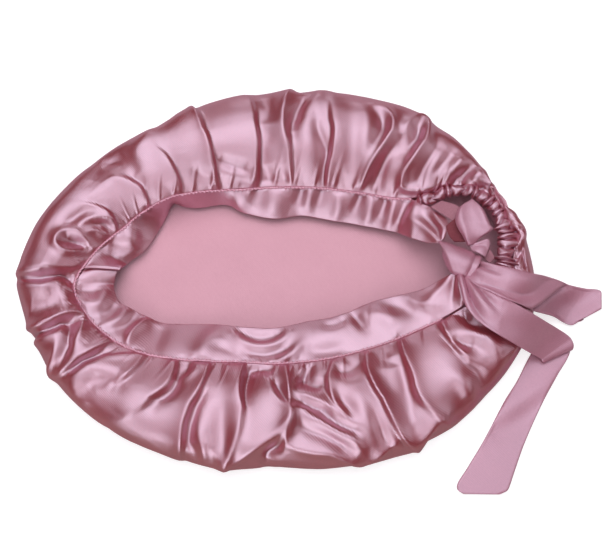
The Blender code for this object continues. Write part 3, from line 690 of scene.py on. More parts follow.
def nape_fingers(clocks):
    """How far through its fingers the nape is at each clock, one whole number a crease."""
    around = np.mod(np.asarray(clocks) + 180.0, 360.0) - 180.0
    return np.interp(around, nape_creases, np.arange(NAPE_FINGERS + 1))


def nape_gathers(clocks, shares):
    """The puckers that the fingers send out over the crown, as heights."""
    count = nape_fingers(clocks)[:, None] + 0.35 * np.sin(shares * 9.0 + clocks[:, None])
    fade = np.exp(-((shares / NAPE_PUCKER_REACH) ** 1.5)) * np.clip(shares / NAPE_PUCKER_START, 0.0, 1.0)
    inside = (count > 0.3) & (count < NAPE_FINGERS - 0.3)
    pucker = np.abs(np.sin(np.pi * count)) ** 0.7 - NAPE_PUCKER_LEVEL
    return np.where(inside, pucker, 0.0) * NAPE_PUCKER_HEIGHT * fade[None]


CROWN_COLUMNS = 960
SEAM_SHARE = 0.12
SEAM_ROWS = 10
PUFF_ROWS = 67
WALL_ROWS = 9
HELD_AT_FLOOR = 0.25

crown_clocks = np.arange(CROWN_COLUMNS) * (360.0 / CROWN_COLUMNS)
crown_shares = np.concatenate([
    np.linspace(0.0, SEAM_SHARE, SEAM_ROWS, endpoint=False),
    np.linspace(SEAM_SHARE, 1.0, PUFF_ROWS, endpoint=False),
    np.linspace(1.0, FLOOR_SHARE, WALL_ROWS),
])
crown_face = crown_grid(crown_clocks, crown_shares)
crown_up = face_normals(crown_face, ring=True)
crown_lift, crown_lean = lift_folds(
    crown_face, crown_up, folds_from_photo(CROWN_FOLDS), crown_points, columns_near_clocks(crown_clocks))
crown_held = np.clip(crown_shares / SEWN_FLAT_SHARE, 0.0, 1.0)
crown_held = (crown_held * np.clip((FLOOR_SHARE - crown_shares) / HELD_AT_FLOOR, 0.0, 1.0))[None]
crown_lift = crown_lift * crown_held * FOLD_FULLNESS
crown_gathers = seam_gathers(crown_clocks, crown_shares) + nape_gathers(crown_clocks, crown_shares)
crown_lift = ironed(crown_lift, LIFT_IRONING, ring=True) + crown_gathers
crown_lean = ironed(crown_lean * crown_held[..., None], LEAN_IRONING, ring=True)
crown_face = crown_face + crown_up * crown_lift[..., None] + crown_lean
crown_face[..., 2] = np.maximum(crown_face[..., 2], 0.0)

# The puffs settle: every second column, ten times its size, blown up a little as cloth
SETTLE_SCALE = 10.0
SETTLE_STEPS = 12
SETTLE_EVERY = 2
SETTLE_REACH = 3.5
SETTLE_IRONING = 3
SETTLE_PRESSURE = 2.0
SETTLE_GROWTH = 0.02
SETTLE_BENDING = 30.0


def quads_between(first, second):
    """Four-cornered faces between neighbouring rows of point numbers."""
    corners = [first[..., :-1], first[..., 1:], second[..., 1:], second[..., :-1]]
    return np.stack(corners, axis=-1).reshape(-1, 4)


def settle(face, held):
    """Let Blender's cloth settle a ring of cloth for a few steps: how far each point moves."""
    some = face[::SETTLE_EVERY]
    length, width = some.shape[:2]
    index = np.arange(length * width).reshape(length, width)
    faces = quads_between(index, np.roll(index, -1, axis=0))
    cloth = put_object("settling", some.reshape(-1, 3) * SETTLE_SCALE, faces.tolist())
    pins = cloth.vertex_groups.new(name="held")
    for column in range(width):
        pins.add(index[:, column].tolist(), float(held[column]), "REPLACE")
    modifier = cloth.modifiers.new("settling", "CLOTH")
    settings = modifier.settings
    settings.vertex_group_mass = "held"
    settings.quality = 6
    settings.mass = 0.15
    settings.air_damping = 2.0
    settings.tension_stiffness = 15.0
    settings.compression_stiffness = 15.0
    settings.shear_stiffness = 3.0
    settings.bending_stiffness = SETTLE_BENDING
    settings.shrink_min = -SETTLE_GROWTH
    settings.use_pressure = True
    settings.uniform_pressure_force = SETTLE_PRESSURE
    settings.effector_weights.gravity = 0.0
    modifier.collision_settings.use_self_collision = False
    modifier.point_cache.frame_end = SETTLE_STEPS
    for step in range(1, SETTLE_STEPS + 1):
        scene.frame_set(step)
    settled = cloth.evaluated_get(bpy.context.evaluated_depsgraph_get())
    found = np.zeros(length * width * 3, dtype=np.float32)
    settled.data.vertices.foreach_get("co", found)
    moved = found.reshape(length, width, 3) / (MILLIMETRE * SETTLE_SCALE) - some
    bpy.data.objects.remove(cloth)
    scene.frame_set(1)
    far = np.linalg.norm(moved, axis=2, keepdims=True)
    moved = moved * SETTLE_REACH / (SETTLE_REACH + far)
    every = np.zeros(face.shape)
    for step in range(SETTLE_EVERY):
        share = step / SETTLE_EVERY
        every[step::SETTLE_EVERY] = moved * (1.0 - share) + np.roll(moved, -1, axis=0) * share
    return every


settle_held = np.zeros(len(crown_shares))
settle_held[[0, 1, 2, -1]] = (1.0, 1.0, 0.6, 1.0)
settled = settle(crown_face, settle_held)
crown_face = crown_face + ironed(settled, SETTLE_IRONING, ring=True)
crown_face[..., 2] = np.maximum(crown_face[..., 2], 0.0)

# The crown's middle lies flat on the table, and its back follows its face at some way off
BACK_EVERY = 4
FLOOR_RINGS = (0.97, 0.9, 0.75, 0.5, 0.25)
BACK_GAP = 2.4
BACK_GAP_ROWS = (2, 12)
BACK_IRONING = 6
crown_face[:, -1, 2] = 0.0
floor_edge = crown_face[:, -1:]
floor_rings = MIDDLE + (floor_edge[..., :2] - MIDDLE) * np.array(FLOOR_RINGS)[None, :, None]
floor_rings = np.concatenate([floor_rings, np.zeros((CROWN_COLUMNS, len(FLOOR_RINGS), 1))], axis=2)
crown_outer = np.concatenate([crown_face, floor_rings], axis=1)
floor_rows = len(FLOOR_RINGS) + 1
crown_gap = np.interp(np.arange(crown_outer.shape[1]), BACK_GAP_ROWS, (SATIN_THICKNESS, BACK_GAP))
crown_back = ironed(crown_outer.copy(), BACK_IRONING, ring=True)
crown_back = crown_back - face_normals(crown_back, ring=True) * crown_gap[None, :, None]
crown_back[:, -floor_rows:] = crown_outer[:, -floor_rows:] + np.array([0.0, 0.0, SATIN_THICKNESS])
coarse_rows = list(range(0, len(crown_shares) - 1, BACK_EVERY))
coarse_rows += list(range(len(crown_shares) - 1, crown_outer.shape[1]))
crown_back = crown_back[::BACK_EVERY][:, coarse_rows]


def crown_shell(outer, back, poles):
    """The crown as a closed shell. Its back is coarser than its outer face."""
    outer_index = np.arange(outer.shape[0] * outer.shape[1]).reshape(outer.shape[:2])
    back_index = np.arange(back.shape[0] * back.shape[1]).reshape(back.shape[:2]) + outer_index.size
    first_pole = outer_index.size + back_index.size
    faces = []
    kinds = []
    for kind, index, turned in ((0, outer_index, 1), (1, back_index, -1)):
        after = np.roll(index, -1, axis=0)
        pole = np.full(len(index), first_pole + kind)
        fans = np.stack([index[:, -1], pole, after[:, -1]], axis=-1)
        for group in (quads_between(index, after), fans):
            faces += group[:, ::turned].tolist()
            kinds += [kind] * len(group)
    edge = outer_index[:, 0]
    back_edge = back_index[:, 0]
    sewn_edge = [edge[step::BACK_EVERY] for step in range(BACK_EVERY)]
    sewn_edge += [np.roll(edge[::BACK_EVERY], -1), np.roll(back_edge, -1), back_edge]
    faces += np.stack(sewn_edge, axis=-1).tolist()
    kinds += [0] * len(back_edge)
    points = np.concatenate([outer.reshape(-1, 3), back.reshape(-1, 3), np.array(poles)])
    return put_object("crown_satin", points, faces, kinds)


crown = crown_shell(crown_outer, crown_back, ((*MIDDLE, 0.0), (*MIDDLE, SATIN_THICKNESS)))

# Satin is smooth and mirrors softly, with a faint slanting twill. It is a little darker in its patches and
# grain, and painted shade darkens its creases
SATIN_SHEEN = (0.95, 0.80, 0.95, 1.0)
SATIN_RELIEF = 0.0002
PATCH_SCALE = 38.0
GRAIN_SCALE = 900.0
TWILL_SCALE = 420.0
TWILL_STRENGTH = 0.6
# How strongly the creases take painted shade, and how dark that painted shade is
PAINTED_SHADE_GAIN = 22.0
PAINTED_CREASE_SHADE = 0.75


def satin(name, colour, shade, roughness, gloss, painted_shade_gain=PAINTED_SHADE_GAIN):
    """Satin of two near colours, this rough, with a refraction of its own for its gloss, and painted shade in
    its creases, as strong as the given gain.
    """
    cloth = Finish(name)
    place = cloth.node("ShaderNodeTexCoord", output=3)
    patch = cloth.node("ShaderNodeTexNoise", Vector=place, Scale=PATCH_SCALE, Detail=3.0)
    slant = cloth.node("ShaderNodeTexWave", {"bands_direction": "DIAGONAL"}, 1,
                       Vector=place, Scale=TWILL_SCALE, Distortion=0.4)
    grain = cloth.node("ShaderNodeTexNoise", Vector=place, Scale=GRAIN_SCALE, Detail=3.0)
    share = (patch * 1.4 + grain * 1.6 - 1.0).between(0.0, 1.0)
    base = cloth.blend(share, (*colour, 1.0), (*shade, 1.0))
    # Painted shade: the colour darkens in the creases, where the surface bends inwards
    bend = cloth.node("ShaderNodeNewGeometry", output=7)
    crease = ((0.5 - bend) * painted_shade_gain - 0.25).between(0.0, 1.0)
    painted_crease_shade = tuple(PAINTED_CREASE_SHADE * value for value in shade)
    base = cloth.blend(crease, base, (*painted_crease_shade, 1.0))
    relief = slant * 0.4 + grain * 0.8
    bump = cloth.node("ShaderNodeBump", Strength=TWILL_STRENGTH, Distance=SATIN_RELIEF, Height=relief)
    face = cloth.node(
        "ShaderNodeBsdfPrincipled",
        Base_Color=base,
        Roughness=roughness,
        IOR=gloss,
        Specular_IOR_Level=0.5,
        Specular_Tint=SATIN_SHEEN,
        Normal=bump,
    )
    cloth.node("ShaderNodeOutputMaterial", Surface=face)
    return cloth.material


crown.data.materials.append(
    satin("crown_satin", colour=(0.30, 0.024, 0.028), shade=(0.22, 0.014, 0.017), roughness=0.33, gloss=4.2))
crown.data.materials.append(
    satin("crown_back", colour=(0.64, 0.345, 0.405), shade=(0.61, 0.320, 0.380), roughness=0.7, gloss=1.5))
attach(crown, "root")
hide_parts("crown")

# ---------------------------------------------------------------------- the headband
# A strip of the same satin folded double, about 23 mm wide and sewn flat inside the
# seam. Its free edge is the fold, and at the left end it laps over itself once.

BAND_THICKNESS = 1.0
SEWN_GAP = 0.5
BAND_BULGE = 1.0
BAND_FULLNESS = 1.5
BAND_ROWS = 120
BAND_COLUMNS = 620
BAND_SEWN_REACH = 0.06
BAND_SEWN_LEAST = 0.25
PUCKERS = 170
PUCKER_REACH = (0.05, 0.16)
PUCKER_HEIGHT = (-0.45, 0.35)
PUCKER_WIDTH = (1.0, 2.2)
BAND_SHARES = np.array((0.0, 0.02, 0.05, 0.09, 0.14, 0.19, 0.25, 0.31, 0.37, 0.43, 0.49,
                        0.55, 0.61, 0.67, 0.73, 0.79, 0.84, 0.89, 0.93, 0.96, 0.98, 1.0))

# One row for each section: rim clock angle of the seam it is sewn to, then the free
# edge's x, y and height. The edge was picked off the photograph by eye and turned into
# millimetres by a scratch script, and some rows were moved by hand after that
BAND_SECTIONS = (
    (50, 80.5, 28.5, 10.5),
    (53, 77.0, 31.0, 8.5),
    (65, 54.0, 37.0, 6),
    (78, 29.5, 41.5, 6),
    (84, 18.0, 43.5, 6),
    (91, 1.0, 41.5, 6),
    (102, -19.0, 46.0, 5.5),
    (106, -27.5, 51.0, 5.5),
    (110, -37.0, 50.5, 5),
    (115, -46.0, 49.0, 5),
    (121, -56.0, 50.0, 4.5),
    (126, -62.5, 52.5, 4.5),
    (129, -65.0, 49.5, 4.5),
    (140, -71.0, 35.0, 4.5),
    (155, -79.0, 20.0, 6),
    (168, -90.0, 10.0, 7.5),
    (180, -97.0, -4.0, 9),
    (192, -92.5, -15.5, 10),
    (205, -81.5, -22.0, 9.5),
    (218, -69.5, -27.0, 8),
    (230, -56.5, -29.0, 7.5),
    (243, -38.0, -29.5, 8),
    (257, -19.0, -32.0, 11.5),
    (271, 2.0, -33.0, 12),
    (285, 22.0, -29.0, 12),
    (296, 38.0, -26.0, 12),
    (313, 64.0, -15.5, 12.5),
    (325, 85.0, -11.0, 14),
)

# Where each end of the band narrows into the knot: clock, free edge x, y, height, then
# the sewn edge's x, y, height, some of them turned into millimetres by that same script
BAND_END_BEHIND = (
    (36, 102.0, 17.5, 23.5, 104.5, 20.0, 24.0),
    (38, 99.5, 17.8, 22.5, 106.5, 26.5, 24.5),
    (41, 96.0, 18.6, 21.0, 107.0, 32.0, 23.5),
    (43, 91.5, 20.5, 19.0, 102.5, 38.0, 21.5),
    (45, 87.5, 22.3, 17.8, 97.0, 43.5, 19.5),
    (47.5, 84.0, 24.4, 16.2, 90.0, 47.5, 18.0),
)
BAND_END_FRONT = (
    (328, 93.0, -9.4, 17.5, 102.8, -28.6, 18.0),
    (330, 100.0, -5.8, 19.5, 108.5, -25.6, 19.5),
    (333, 106.5, -3.6, 23.0, 114.5, -21.8, 22.0),
    (336, 109.8, -2.0, 25.0, 116.8, -14.5, 25.0),
)

# The lap at the left end, in the same columns: over, round, back under and round again
BAND_LAP = (
    (174.0, -92.0, 3.8, 17.4, -113.6, 5.2, 17.2),
    (174.6, -92.8, 2.2, 16.6, -114.4, 3.8, 16.6),
    (175.2, -91.5, 5.0, 15.0, -113.2, 5.4, 15.4),
    (175.8, -92.0, 6.0, 13.9, -113.4, 5.8, 14.8),
    (176.6, -95.0, 1.5, 13.8, -115.6, 2.6, 15.0),
)
BAND_LAP_CLOCKS = (169.0, 178.0)

# One row for each fold of the band, in the columns of the crown's folds. The shares run
# from nought at the free edge to one at the seam
BAND_FOLDS = (
    # drawn together into the knot
    (1.6, 0, 2.5, 2.5, 1.5, 1.0, 0.5, ((36.5, 0.5), (39, 0.6), (42, 0.75), (44.5, 0.95))),
    (-1.8, 0, 2.5, 2.5, 1.5, 1.0, 0.5, ((36.5, 0.35), (39, 0.42), (42, 0.58), (46, 0.72))),
    (1.6, 0, 2.5, 2.5, 1.5, 1.0, 0.5, ((36.5, 0.15), (40, 0.25), (44, 0.4), (49, 0.5))),
    (-1.8, 0, 2.0, 3.5, 1.5, 1.0, 0.5, ((335.5, 0.1), (333, 0.3), (331, 0.6), (330.5, 0.8))),
    (1.6, 0, 2.0, 2.5, 1.5, 1.0, 0.6, ((336, 0.3), (334.5, 0.5), (333.5, 0.9))),
    (1.4, 0, 3.0, 3.0, 1.5, 0.9, 0.5, ((334, 0.05), (330, 0.25), (326, 0.45))),
    # the far side, from the knot to the left end
    (1.6, 0, 5, 5, 1.8, 1.0, 0.6, ((50, 0.1), (49.5, 0.5), (48, 0.95))),
    (-1.8, 0, 4, 4, 1.8, 0.8, 0.8, ((53, 0.25), (52, 0.6), (51, 0.98))),
    (1.4, 0, 3.5, 3.5, 1.8, 0.7, 0.7, ((56, 0.1), (55, 0.5), (54.5, 0.95))),
    (-1.8, 0, 3.5, 3.5, 1.8, 0.5, 1.0, ((59, 0.35), (58, 0.7), (57, 1.0))),
    (1.3, 0, 4, 4, 1.8, 0.8, 0.6, ((63, 0.1), (62, 0.5), (61.5, 0.95))),
    (-1.8, 0, 3.5, 3.5, 1.8, 0.5, 1.0, ((67.5, 0.35), (66, 0.7), (65, 1.0))),
    (1.2, 0, 4, 4, 1.8, 0.8, 0.6, ((73, 0.05), (72, 0.5), (72, 0.95))),
    (-1.4, 0, 4, 4, 1.8, 0.4, 1.0, ((79, 0.35), (78, 0.7), (77, 1.0))),
    (1.0, 0, 4, 4, 1.8, 0.7, 0.7, ((82, 0.1), (82, 0.5), (81, 0.95))),
    (-1.6, 0, 3.5, 4.5, 1.8, 0.4, 1.0, ((86, 0.4), (84.5, 0.7), (83.5, 1.0))),
    (1.2, 0, 6, 6, 2.0, 0.7, 0.6, ((92, 0.1), (92, 0.5), (91, 0.9))),
    (-1.2, 0, 5, 5, 2.0, 0.4, 0.9, ((99, 0.4), (97, 0.7), (96, 1.0))),
    (1.4, 0, 8, 8, 2.0, 0.8, 0.4, ((104, 0.1), (102, 0.6), (101, 0.9))),
    (-1.4, 0, 9, 7, 2.0, 0.3, 0.8, ((118, 0.6), (112, 0.75), (107, 0.95))),
    (1.2, 0, 5, 5, 2.0, 0.6, 0.6, ((136, 0.05), (128, 0.35), (120, 0.5))),
    (-2.2, 0, 8, 8, 2.0, 0.6, 0.6, ((138, 0.9), (146, 0.6), (152, 0.35))),
    (2.4, 0, 7, 6, 2.0, 0.6, 0.8, ((152, 0.85), (156, 0.6), (160, 0.4))),
    (-2.2, 0, 6, 6, 2.0, 0.7, 0.5, ((165, 0.8), (163, 0.5), (164, 0.25))),
    # the left end and the near side
    (-1.8, 0, 5, 5, 1.8, 0.8, 0.5, ((182, 0.9), (183, 0.6), (184, 0.4))),
    (2.0, 0, 5, 5, 1.8, 0.7, 0.9, ((188, 0.9), (190, 0.55), (184, 0.15))),
    (-1.6, 0, 5, 5, 2.0, 0.5, 0.7, ((196, 0.75), (196, 0.45), (192, 0.15))),
    (1.4, 0, 4, 4, 1.8, 0.8, 0.8, ((202, 0.8), (203, 0.5), (201, 0.08))),
    (-1.6, 0, 4, 4, 1.8, 0.6, 0.8, ((206, 0.8), (208, 0.5), (206, 0.12))),
    (2.2, 0, 3.5, 2.5, 1.5, 1.0, 0.8, ((216, 0.9), (213, 0.55), (213, 0.1))),
    (-1.8, 0, 7, 8, 2.0, 0.8, 0.8, ((225, 0.9), (224, 0.5), (222, 0.1))),
    (1.8, 0, 7, 7, 2.0, 1.0, 0.7, ((241, 0.95), (243, 0.6), (247, 0.25))),
    (-1.0, 0, 3, 3, 1.8, 0.6, 0.6, ((246, 0.62), (251, 0.66), (255, 0.8))),
    (1.6, 0, 2.5, 2.5, 1.6, 0.8, 0.8, ((254, 0.22), (258, 0.42), (264, 0.55), (271, 0.48), (277, 0.2))),
    (-2.0, 0, 3.5, 3.5, 1.8, 0.8, 0.8, ((257, 0.15), (264, 0.3), (272, 0.22))),
    (-1.8, 0, 3.5, 3.5, 1.8, 0.8, 0.8, ((260, 0.72), (267, 0.75), (276, 0.62))),
    (1.8, 0, 3, 3, 1.6, 0.9, 0.6, ((272, 0.98), (277, 0.8), (282, 0.55))),
    (1.2, 0, 8, 8, 2.0, 0.7, 0.7, ((286, 0.3), (292, 0.35), (299, 0.25))),
    (-1.4, 0, 2.5, 2.5, 1.6, 0.7, 0.7, ((292, 0.2), (296, 0.22), (300, 0.15))),
    (-1.4, 0, 4, 4, 1.8, 0.6, 0.8, ((284, 0.75), (290, 0.8), (297, 0.82))),
    (-2.0, 0, 3.5, 3.5, 1.8, 0.9, 0.6, ((303, 0.1), (304.5, 0.3), (306, 0.55))),
    (1.8, 0, 6, 6, 2.0, 0.7, 0.8, ((308, 0.25), (313, 0.4), (316, 0.7))),
    (-1.4, 0, 5, 5, 2.0, 0.7, 0.7, ((316, 0.2), (320, 0.35), (322, 0.6))),
    (1.6, 0, 4, 4, 1.8, 0.7, 0.9, ((323, 0.15), (325, 0.4), (328, 0.6))),
)


def strip_object(name, face, under):
    """A strip of cloth as one closed shell: its face, its back and its four thin edges."""
    count = face.shape[0] * face.shape[1]
    index = np.arange(count).reshape(face.shape[:2])
    upper = quads_between(index[:-1], index[1:])

    def edge_faces(edge):
        return np.roll(quads_between(edge + count, edge), 1, axis=1)

    faces = np.concatenate([
        upper,
        upper[:, ::-1] + count,
        quads_between(index[:, 0], index[:, 0] + count),
        edge_faces(index[:, -1]),
        edge_faces(index[0]),
        edge_faces(index[-1])[:, ::-1],
    ])
    points = np.concatenate([face.reshape(-1, 3), under.reshape(-1, 3)])
    return put_object(name, points, faces.tolist())


def places_along(rows):
    """How far along a strip each of its rows lies, measured down its middle."""
    middles = (rows[:, 0:3] + rows[:, 3:6]) / 2.0
    steps = np.linalg.norm(np.diff(middles, axis=0), axis=1)
    return np.concatenate([[0.0], np.cumsum(steps)])


def band_rows():
    """Every section of the band in order: clock, free edge point, sewn edge point."""
    clocks = np.linspace(BAND_SECTIONS[0][0], BAND_SECTIONS[-1][0], BAND_ROWS)
    clocks = clocks[(clocks < BAND_LAP_CLOCKS[0]) | (clocks > BAND_LAP_CLOCKS[1])]
    free_edge = smooth_rows(BAND_SECTIONS, clocks)
    seam, seam_height = crown_sections(clocks)[:2]
    inwards = unit(free_edge[:, :2] - seam)
    sewn = np.concatenate([seam + inwards * SEWN_GAP, seam_height[:, None]], axis=1)
    middle = np.concatenate([clocks[:, None], free_edge, sewn], axis=1)
    before = middle[clocks < BAND_LAP_CLOCKS[0]]
    after = middle[clocks > BAND_LAP_CLOCKS[1]]
    return np.concatenate([BAND_END_BEHIND, before, BAND_LAP, after, BAND_END_FRONT])


band_table = band_rows()
band_places = places_along(band_table[:, 1:])
band_wanted = np.linspace(0.0, band_places[-1], BAND_COLUMNS)
band_read = smooth_rows(np.concatenate([band_places[:, None], band_table], axis=1), band_wanted)


def band_points(clocks, shares):
    """The band's upper face before its folds, a point for each clock and its share."""
    read = smooth_rows(band_table[np.argsort(band_table[:, 0])], clocks)
    return read[:, 0:3] + (read[:, 3:6] - read[:, 0:3]) * shares[:, None]


def strip_grid(one_edge, other_edge, shares, bulge):
    """Points from one edge of a strip to its other edge, lifted between them."""
    across = other_edge - one_edge
    grid = one_edge[:, None] + across[:, None] * shares[None, :, None]
    grid[..., 2] += bulge * 4.0 * (shares * (1.0 - shares))[None]
    return grid


band_face = strip_grid(band_read[:, 1:4], band_read[:, 4:7], BAND_SHARES, BAND_BULGE)
band_up = face_normals(band_face, ring=False)
band_lift, band_lean = lift_folds(
    band_face, band_up, BAND_FOLDS, band_points, columns_near_clocks(band_read[:, 0]))
from_seam = 1.0 - BAND_SHARES
band_sewn = np.clip(from_seam / BAND_SEWN_REACH, BAND_SEWN_LEAST, 1.0)[None]
chance = np.random.default_rng(11)
for pucker in range(PUCKERS):
    pucker_place = chance.uniform(0.0, band_places[-1])
    pucker_reach = chance.uniform(*PUCKER_REACH)
    pucker_height = chance.uniform(*PUCKER_HEIGHT)
    pucker_width = chance.uniform(*PUCKER_WIDTH)
    pucker_along = np.exp(-((band_wanted - pucker_place) / pucker_width) ** 2)
    pucker_across = np.exp(-(from_seam / pucker_reach) ** 2)
    band_lift += pucker_height * pucker_along[:, None] * pucker_across[None]
band_lift = band_lift * band_sewn * BAND_FULLNESS
band_face = band_face + band_up * band_lift[..., None] + band_lean * band_sewn[..., None]
band_under = band_face - face_normals(band_face, ring=False) * BAND_THICKNESS
band = strip_object("band_satin", band_face, band_under)
band.data.materials.append(
    satin("band_satin", colour=(0.31, 0.031, 0.040), shade=(0.23, 0.017, 0.022), roughness=0.33, gloss=4.4))
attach(band, "root")
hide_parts("headband")

# ------------------------------------------------------------------- the seam's ridge
# Where crown and band are sewn together the allowance rolls up into a thin ridge, drawn
# into teeth by the stitches. It is the same satin, held by the row of stitches.

RIDGE_FIRST_CLOCK = 50.0
RIDGE_LAST_CLOCK = 328.0
RIDGE_COLUMNS = 1500
RIDGE_SIDES = 8
RIDGE_HALF_WIDTH = 0.7
RIDGE_HALF_HEIGHT = 0.5
RIDGE_RISE = 0.25
RIDGE_INSET = 0.35
STITCH_LENGTH = 2.3
TOOTH_DEPTH = 0.22
TOOTH_SWELL = 0.28
TOOTH_WANDER = 0.5
TOOTH_UNEVENNESS = 3.0


def seam_line(clocks):
    """The seam's points and heights at these clocks, and the level way inwards from it."""
    seam, height = crown_sections(clocks)[:2]
    along = unit(np.gradient(seam, axis=0))
    return seam, height, np.stack([-along[:, 1], along[:, 0], np.zeros(len(clocks))], axis=1)


def tube_object(name, grid):
    """A closed tube from its rings of points, with a flat face at either end."""
    index = np.arange(grid.shape[0] * grid.shape[1]).reshape(grid.shape[:2])
    turned = np.roll(index, -1, axis=1)
    walls = np.stack([index[:-1], index[1:], turned[1:], turned[:-1]], axis=-1).reshape(-1, 4)
    faces = walls.tolist() + [index[0].tolist(), index[-1][::-1].tolist()]
    return put_object(name, grid.reshape(-1, 3), faces)


ridge_clocks = np.linspace(RIDGE_FIRST_CLOCK, RIDGE_LAST_CLOCK, RIDGE_COLUMNS)
ridge_seam, ridge_height, ridge_in = seam_line(ridge_clocks)
ridge_step = np.linalg.norm(np.diff(ridge_seam, axis=0), axis=1)
ridge_place = np.concatenate([[0.0], np.cumsum(ridge_step)])
wander = np.convolve(chance.uniform(-1.0, 1.0, RIDGE_COLUMNS), np.ones(9) / 9.0, "same")
teeth = np.sin(ridge_place / STITCH_LENGTH * 2.0 * np.pi + wander * TOOTH_UNEVENNESS)
ridge_middle = np.concatenate([ridge_seam, ridge_height[:, None] + RIDGE_RISE], axis=1)
ridge_middle = ridge_middle + ridge_in * (RIDGE_INSET + TOOTH_DEPTH * teeth + TOOTH_WANDER * wander)[:, None]
ridge_size = 1.0 + TOOTH_SWELL * teeth + TOOTH_WANDER * wander
ridge_angles = np.arange(RIDGE_SIDES) * (2.0 * np.pi / RIDGE_SIDES)
ridge_aside = np.cos(ridge_angles) * (RIDGE_HALF_WIDTH * ridge_size)[:, None]
ridge_grid = ridge_middle[:, None] + ridge_in[:, None] * ridge_aside[..., None]
ridge_grid[..., 2] += np.sin(ridge_angles) * (RIDGE_HALF_HEIGHT * ridge_size)[:, None]
ridge = tube_object("seam_ridge", ridge_grid)
ridge.data.materials.append(
    satin("ridge_satin", colour=(0.56, 0.20, 0.25), shade=(0.42, 0.10, 0.13),
          roughness=0.42, gloss=3.8, painted_shade_gain=0.0))
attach(ridge, "root")

# ---------------------------------------------------------------- the elastic casing
# At the nape the crown's own edge is turned over an elastic, which draws it up into
# close ruffles that stand like fingers across it.

CASING_HALF_WIDTHS = ((-21, 4.8), (0, 6.2), (14, 6.2), (26, 5.0), (38, 4.0), (49, 3.6))
CASING_HALF_HEIGHT = 3.4
CASING_RISE = 0.6
CASING_INSET = 0.8
CASING_WANDER = 0.9
CASING_COLUMNS = 640
CASING_SIDES = 36
# Each ruffle bends, swells and is grooved along its top by chance, within these bounds
RUFFLE_BEND = 0.35
RUFFLE_WAVE = 0.12
RUFFLE_VALLEY = 0.38
RUFFLE_SWELL = (0.55, 0.90)
RUFFLE_ROUNDNESS = 0.6
RUFFLE_OUTSIDE = (0.8, 1.35)
RUFFLE_INSIDE = 0.85
GROOVE_DEPTH = 0.10
GROOVE_WIDTH = 0.10
END_RUFFLES = 0.8
END_SIZE = 0.2

casing_clocks = np.linspace(NAPE_FIRST_CLOCK, NAPE_LAST_CLOCK, CASING_COLUMNS)
casing_seam, casing_height, casing_in = seam_line(casing_clocks)
casing_in = casing_in[:, :2]
casing_half_width = np.interp(casing_clocks, *np.array(CASING_HALF_WIDTHS, dtype=float).T)[:, None]
casing_turn = np.arange(CASING_SIDES)[None] * (2.0 * np.pi / CASING_SIDES)
finger = nape_fingers(casing_clocks)[:, None]


def by_finger(low, high):
    """A chance value for each finger, read smoothly along the casing."""
    values = chance.uniform(low, high, NAPE_FINGERS + 2)
    return np.interp(finger, np.arange(NAPE_FINGERS + 2) - 0.5, values)


bent_finger = finger + by_finger(-RUFFLE_BEND, RUFFLE_BEND) * np.cos(casing_turn + by_finger(0.0, 3.0))
bent_finger = bent_finger + RUFFLE_WAVE * np.sin(2.0 * casing_turn + by_finger(0.0, 6.0))
hump = np.abs(np.sin(np.pi * bent_finger))
fullness = RUFFLE_VALLEY + by_finger(*RUFFLE_SWELL) * hump ** RUFFLE_ROUNDNESS
groove = np.exp(-((hump - 1.0) / GROOVE_WIDTH) ** 2)
fullness = fullness - GROOVE_DEPTH * by_finger(0.0, 1.0) * groove
fullness = fullness * np.clip(np.minimum(finger, NAPE_FINGERS - finger) / END_RUFFLES, END_SIZE, 1.0)
casing_inset = casing_half_width * CASING_INSET + by_finger(-CASING_WANDER, CASING_WANDER)
casing_middle = casing_seam + casing_in * casing_inset
casing_aside = np.cos(casing_turn) * casing_half_width * fullness
casing_aside = casing_aside * np.where(np.cos(casing_turn) > 0.0, by_finger(*RUFFLE_OUTSIDE), RUFFLE_INSIDE)
casing_up = np.sin(casing_turn) * CASING_HALF_HEIGHT * fullness
casing_grid = np.zeros((CASING_COLUMNS, CASING_SIDES, 3))
casing_grid[..., :2] = casing_middle[:, None] - casing_in[:, None] * casing_aside[..., None]
casing_grid[..., 2] = casing_height[:, None] + CASING_RISE + casing_up
casing = tube_object("casing_satin", casing_grid)
casing.data.materials.append(
    satin("casing_satin", colour=(0.28, 0.026, 0.038), shade=(0.21, 0.014, 0.020), roughness=0.34, gloss=4.2))
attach(casing, "root")
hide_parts("elastic_casing")

# -------------------------------------------------------------- the knot and the ties
# The two ends of the band are tied: one end is wrapped once round the other, and both
# run out over the crown as tails. They are double satin, pressed flat, with sewn ends.

TIE_THICKNESS = 0.9
TIE_FULLNESS = 1.9
TIE_COLUMN = 0.7
TIE_EDGE_DROP = 0.45
TIE_EDGE_ROUNDING = 0.7
TIE_EDGE_REACH = 1.5
TIE_EDGE_FULLNESS = 0.35
TIE_EDGE_SEAM = 0.9
TIE_EDGE_THICKNESS = 0.35
TIE_LOWEST_FACE = 0.35
TIE_LOWEST_BACK = 0.02
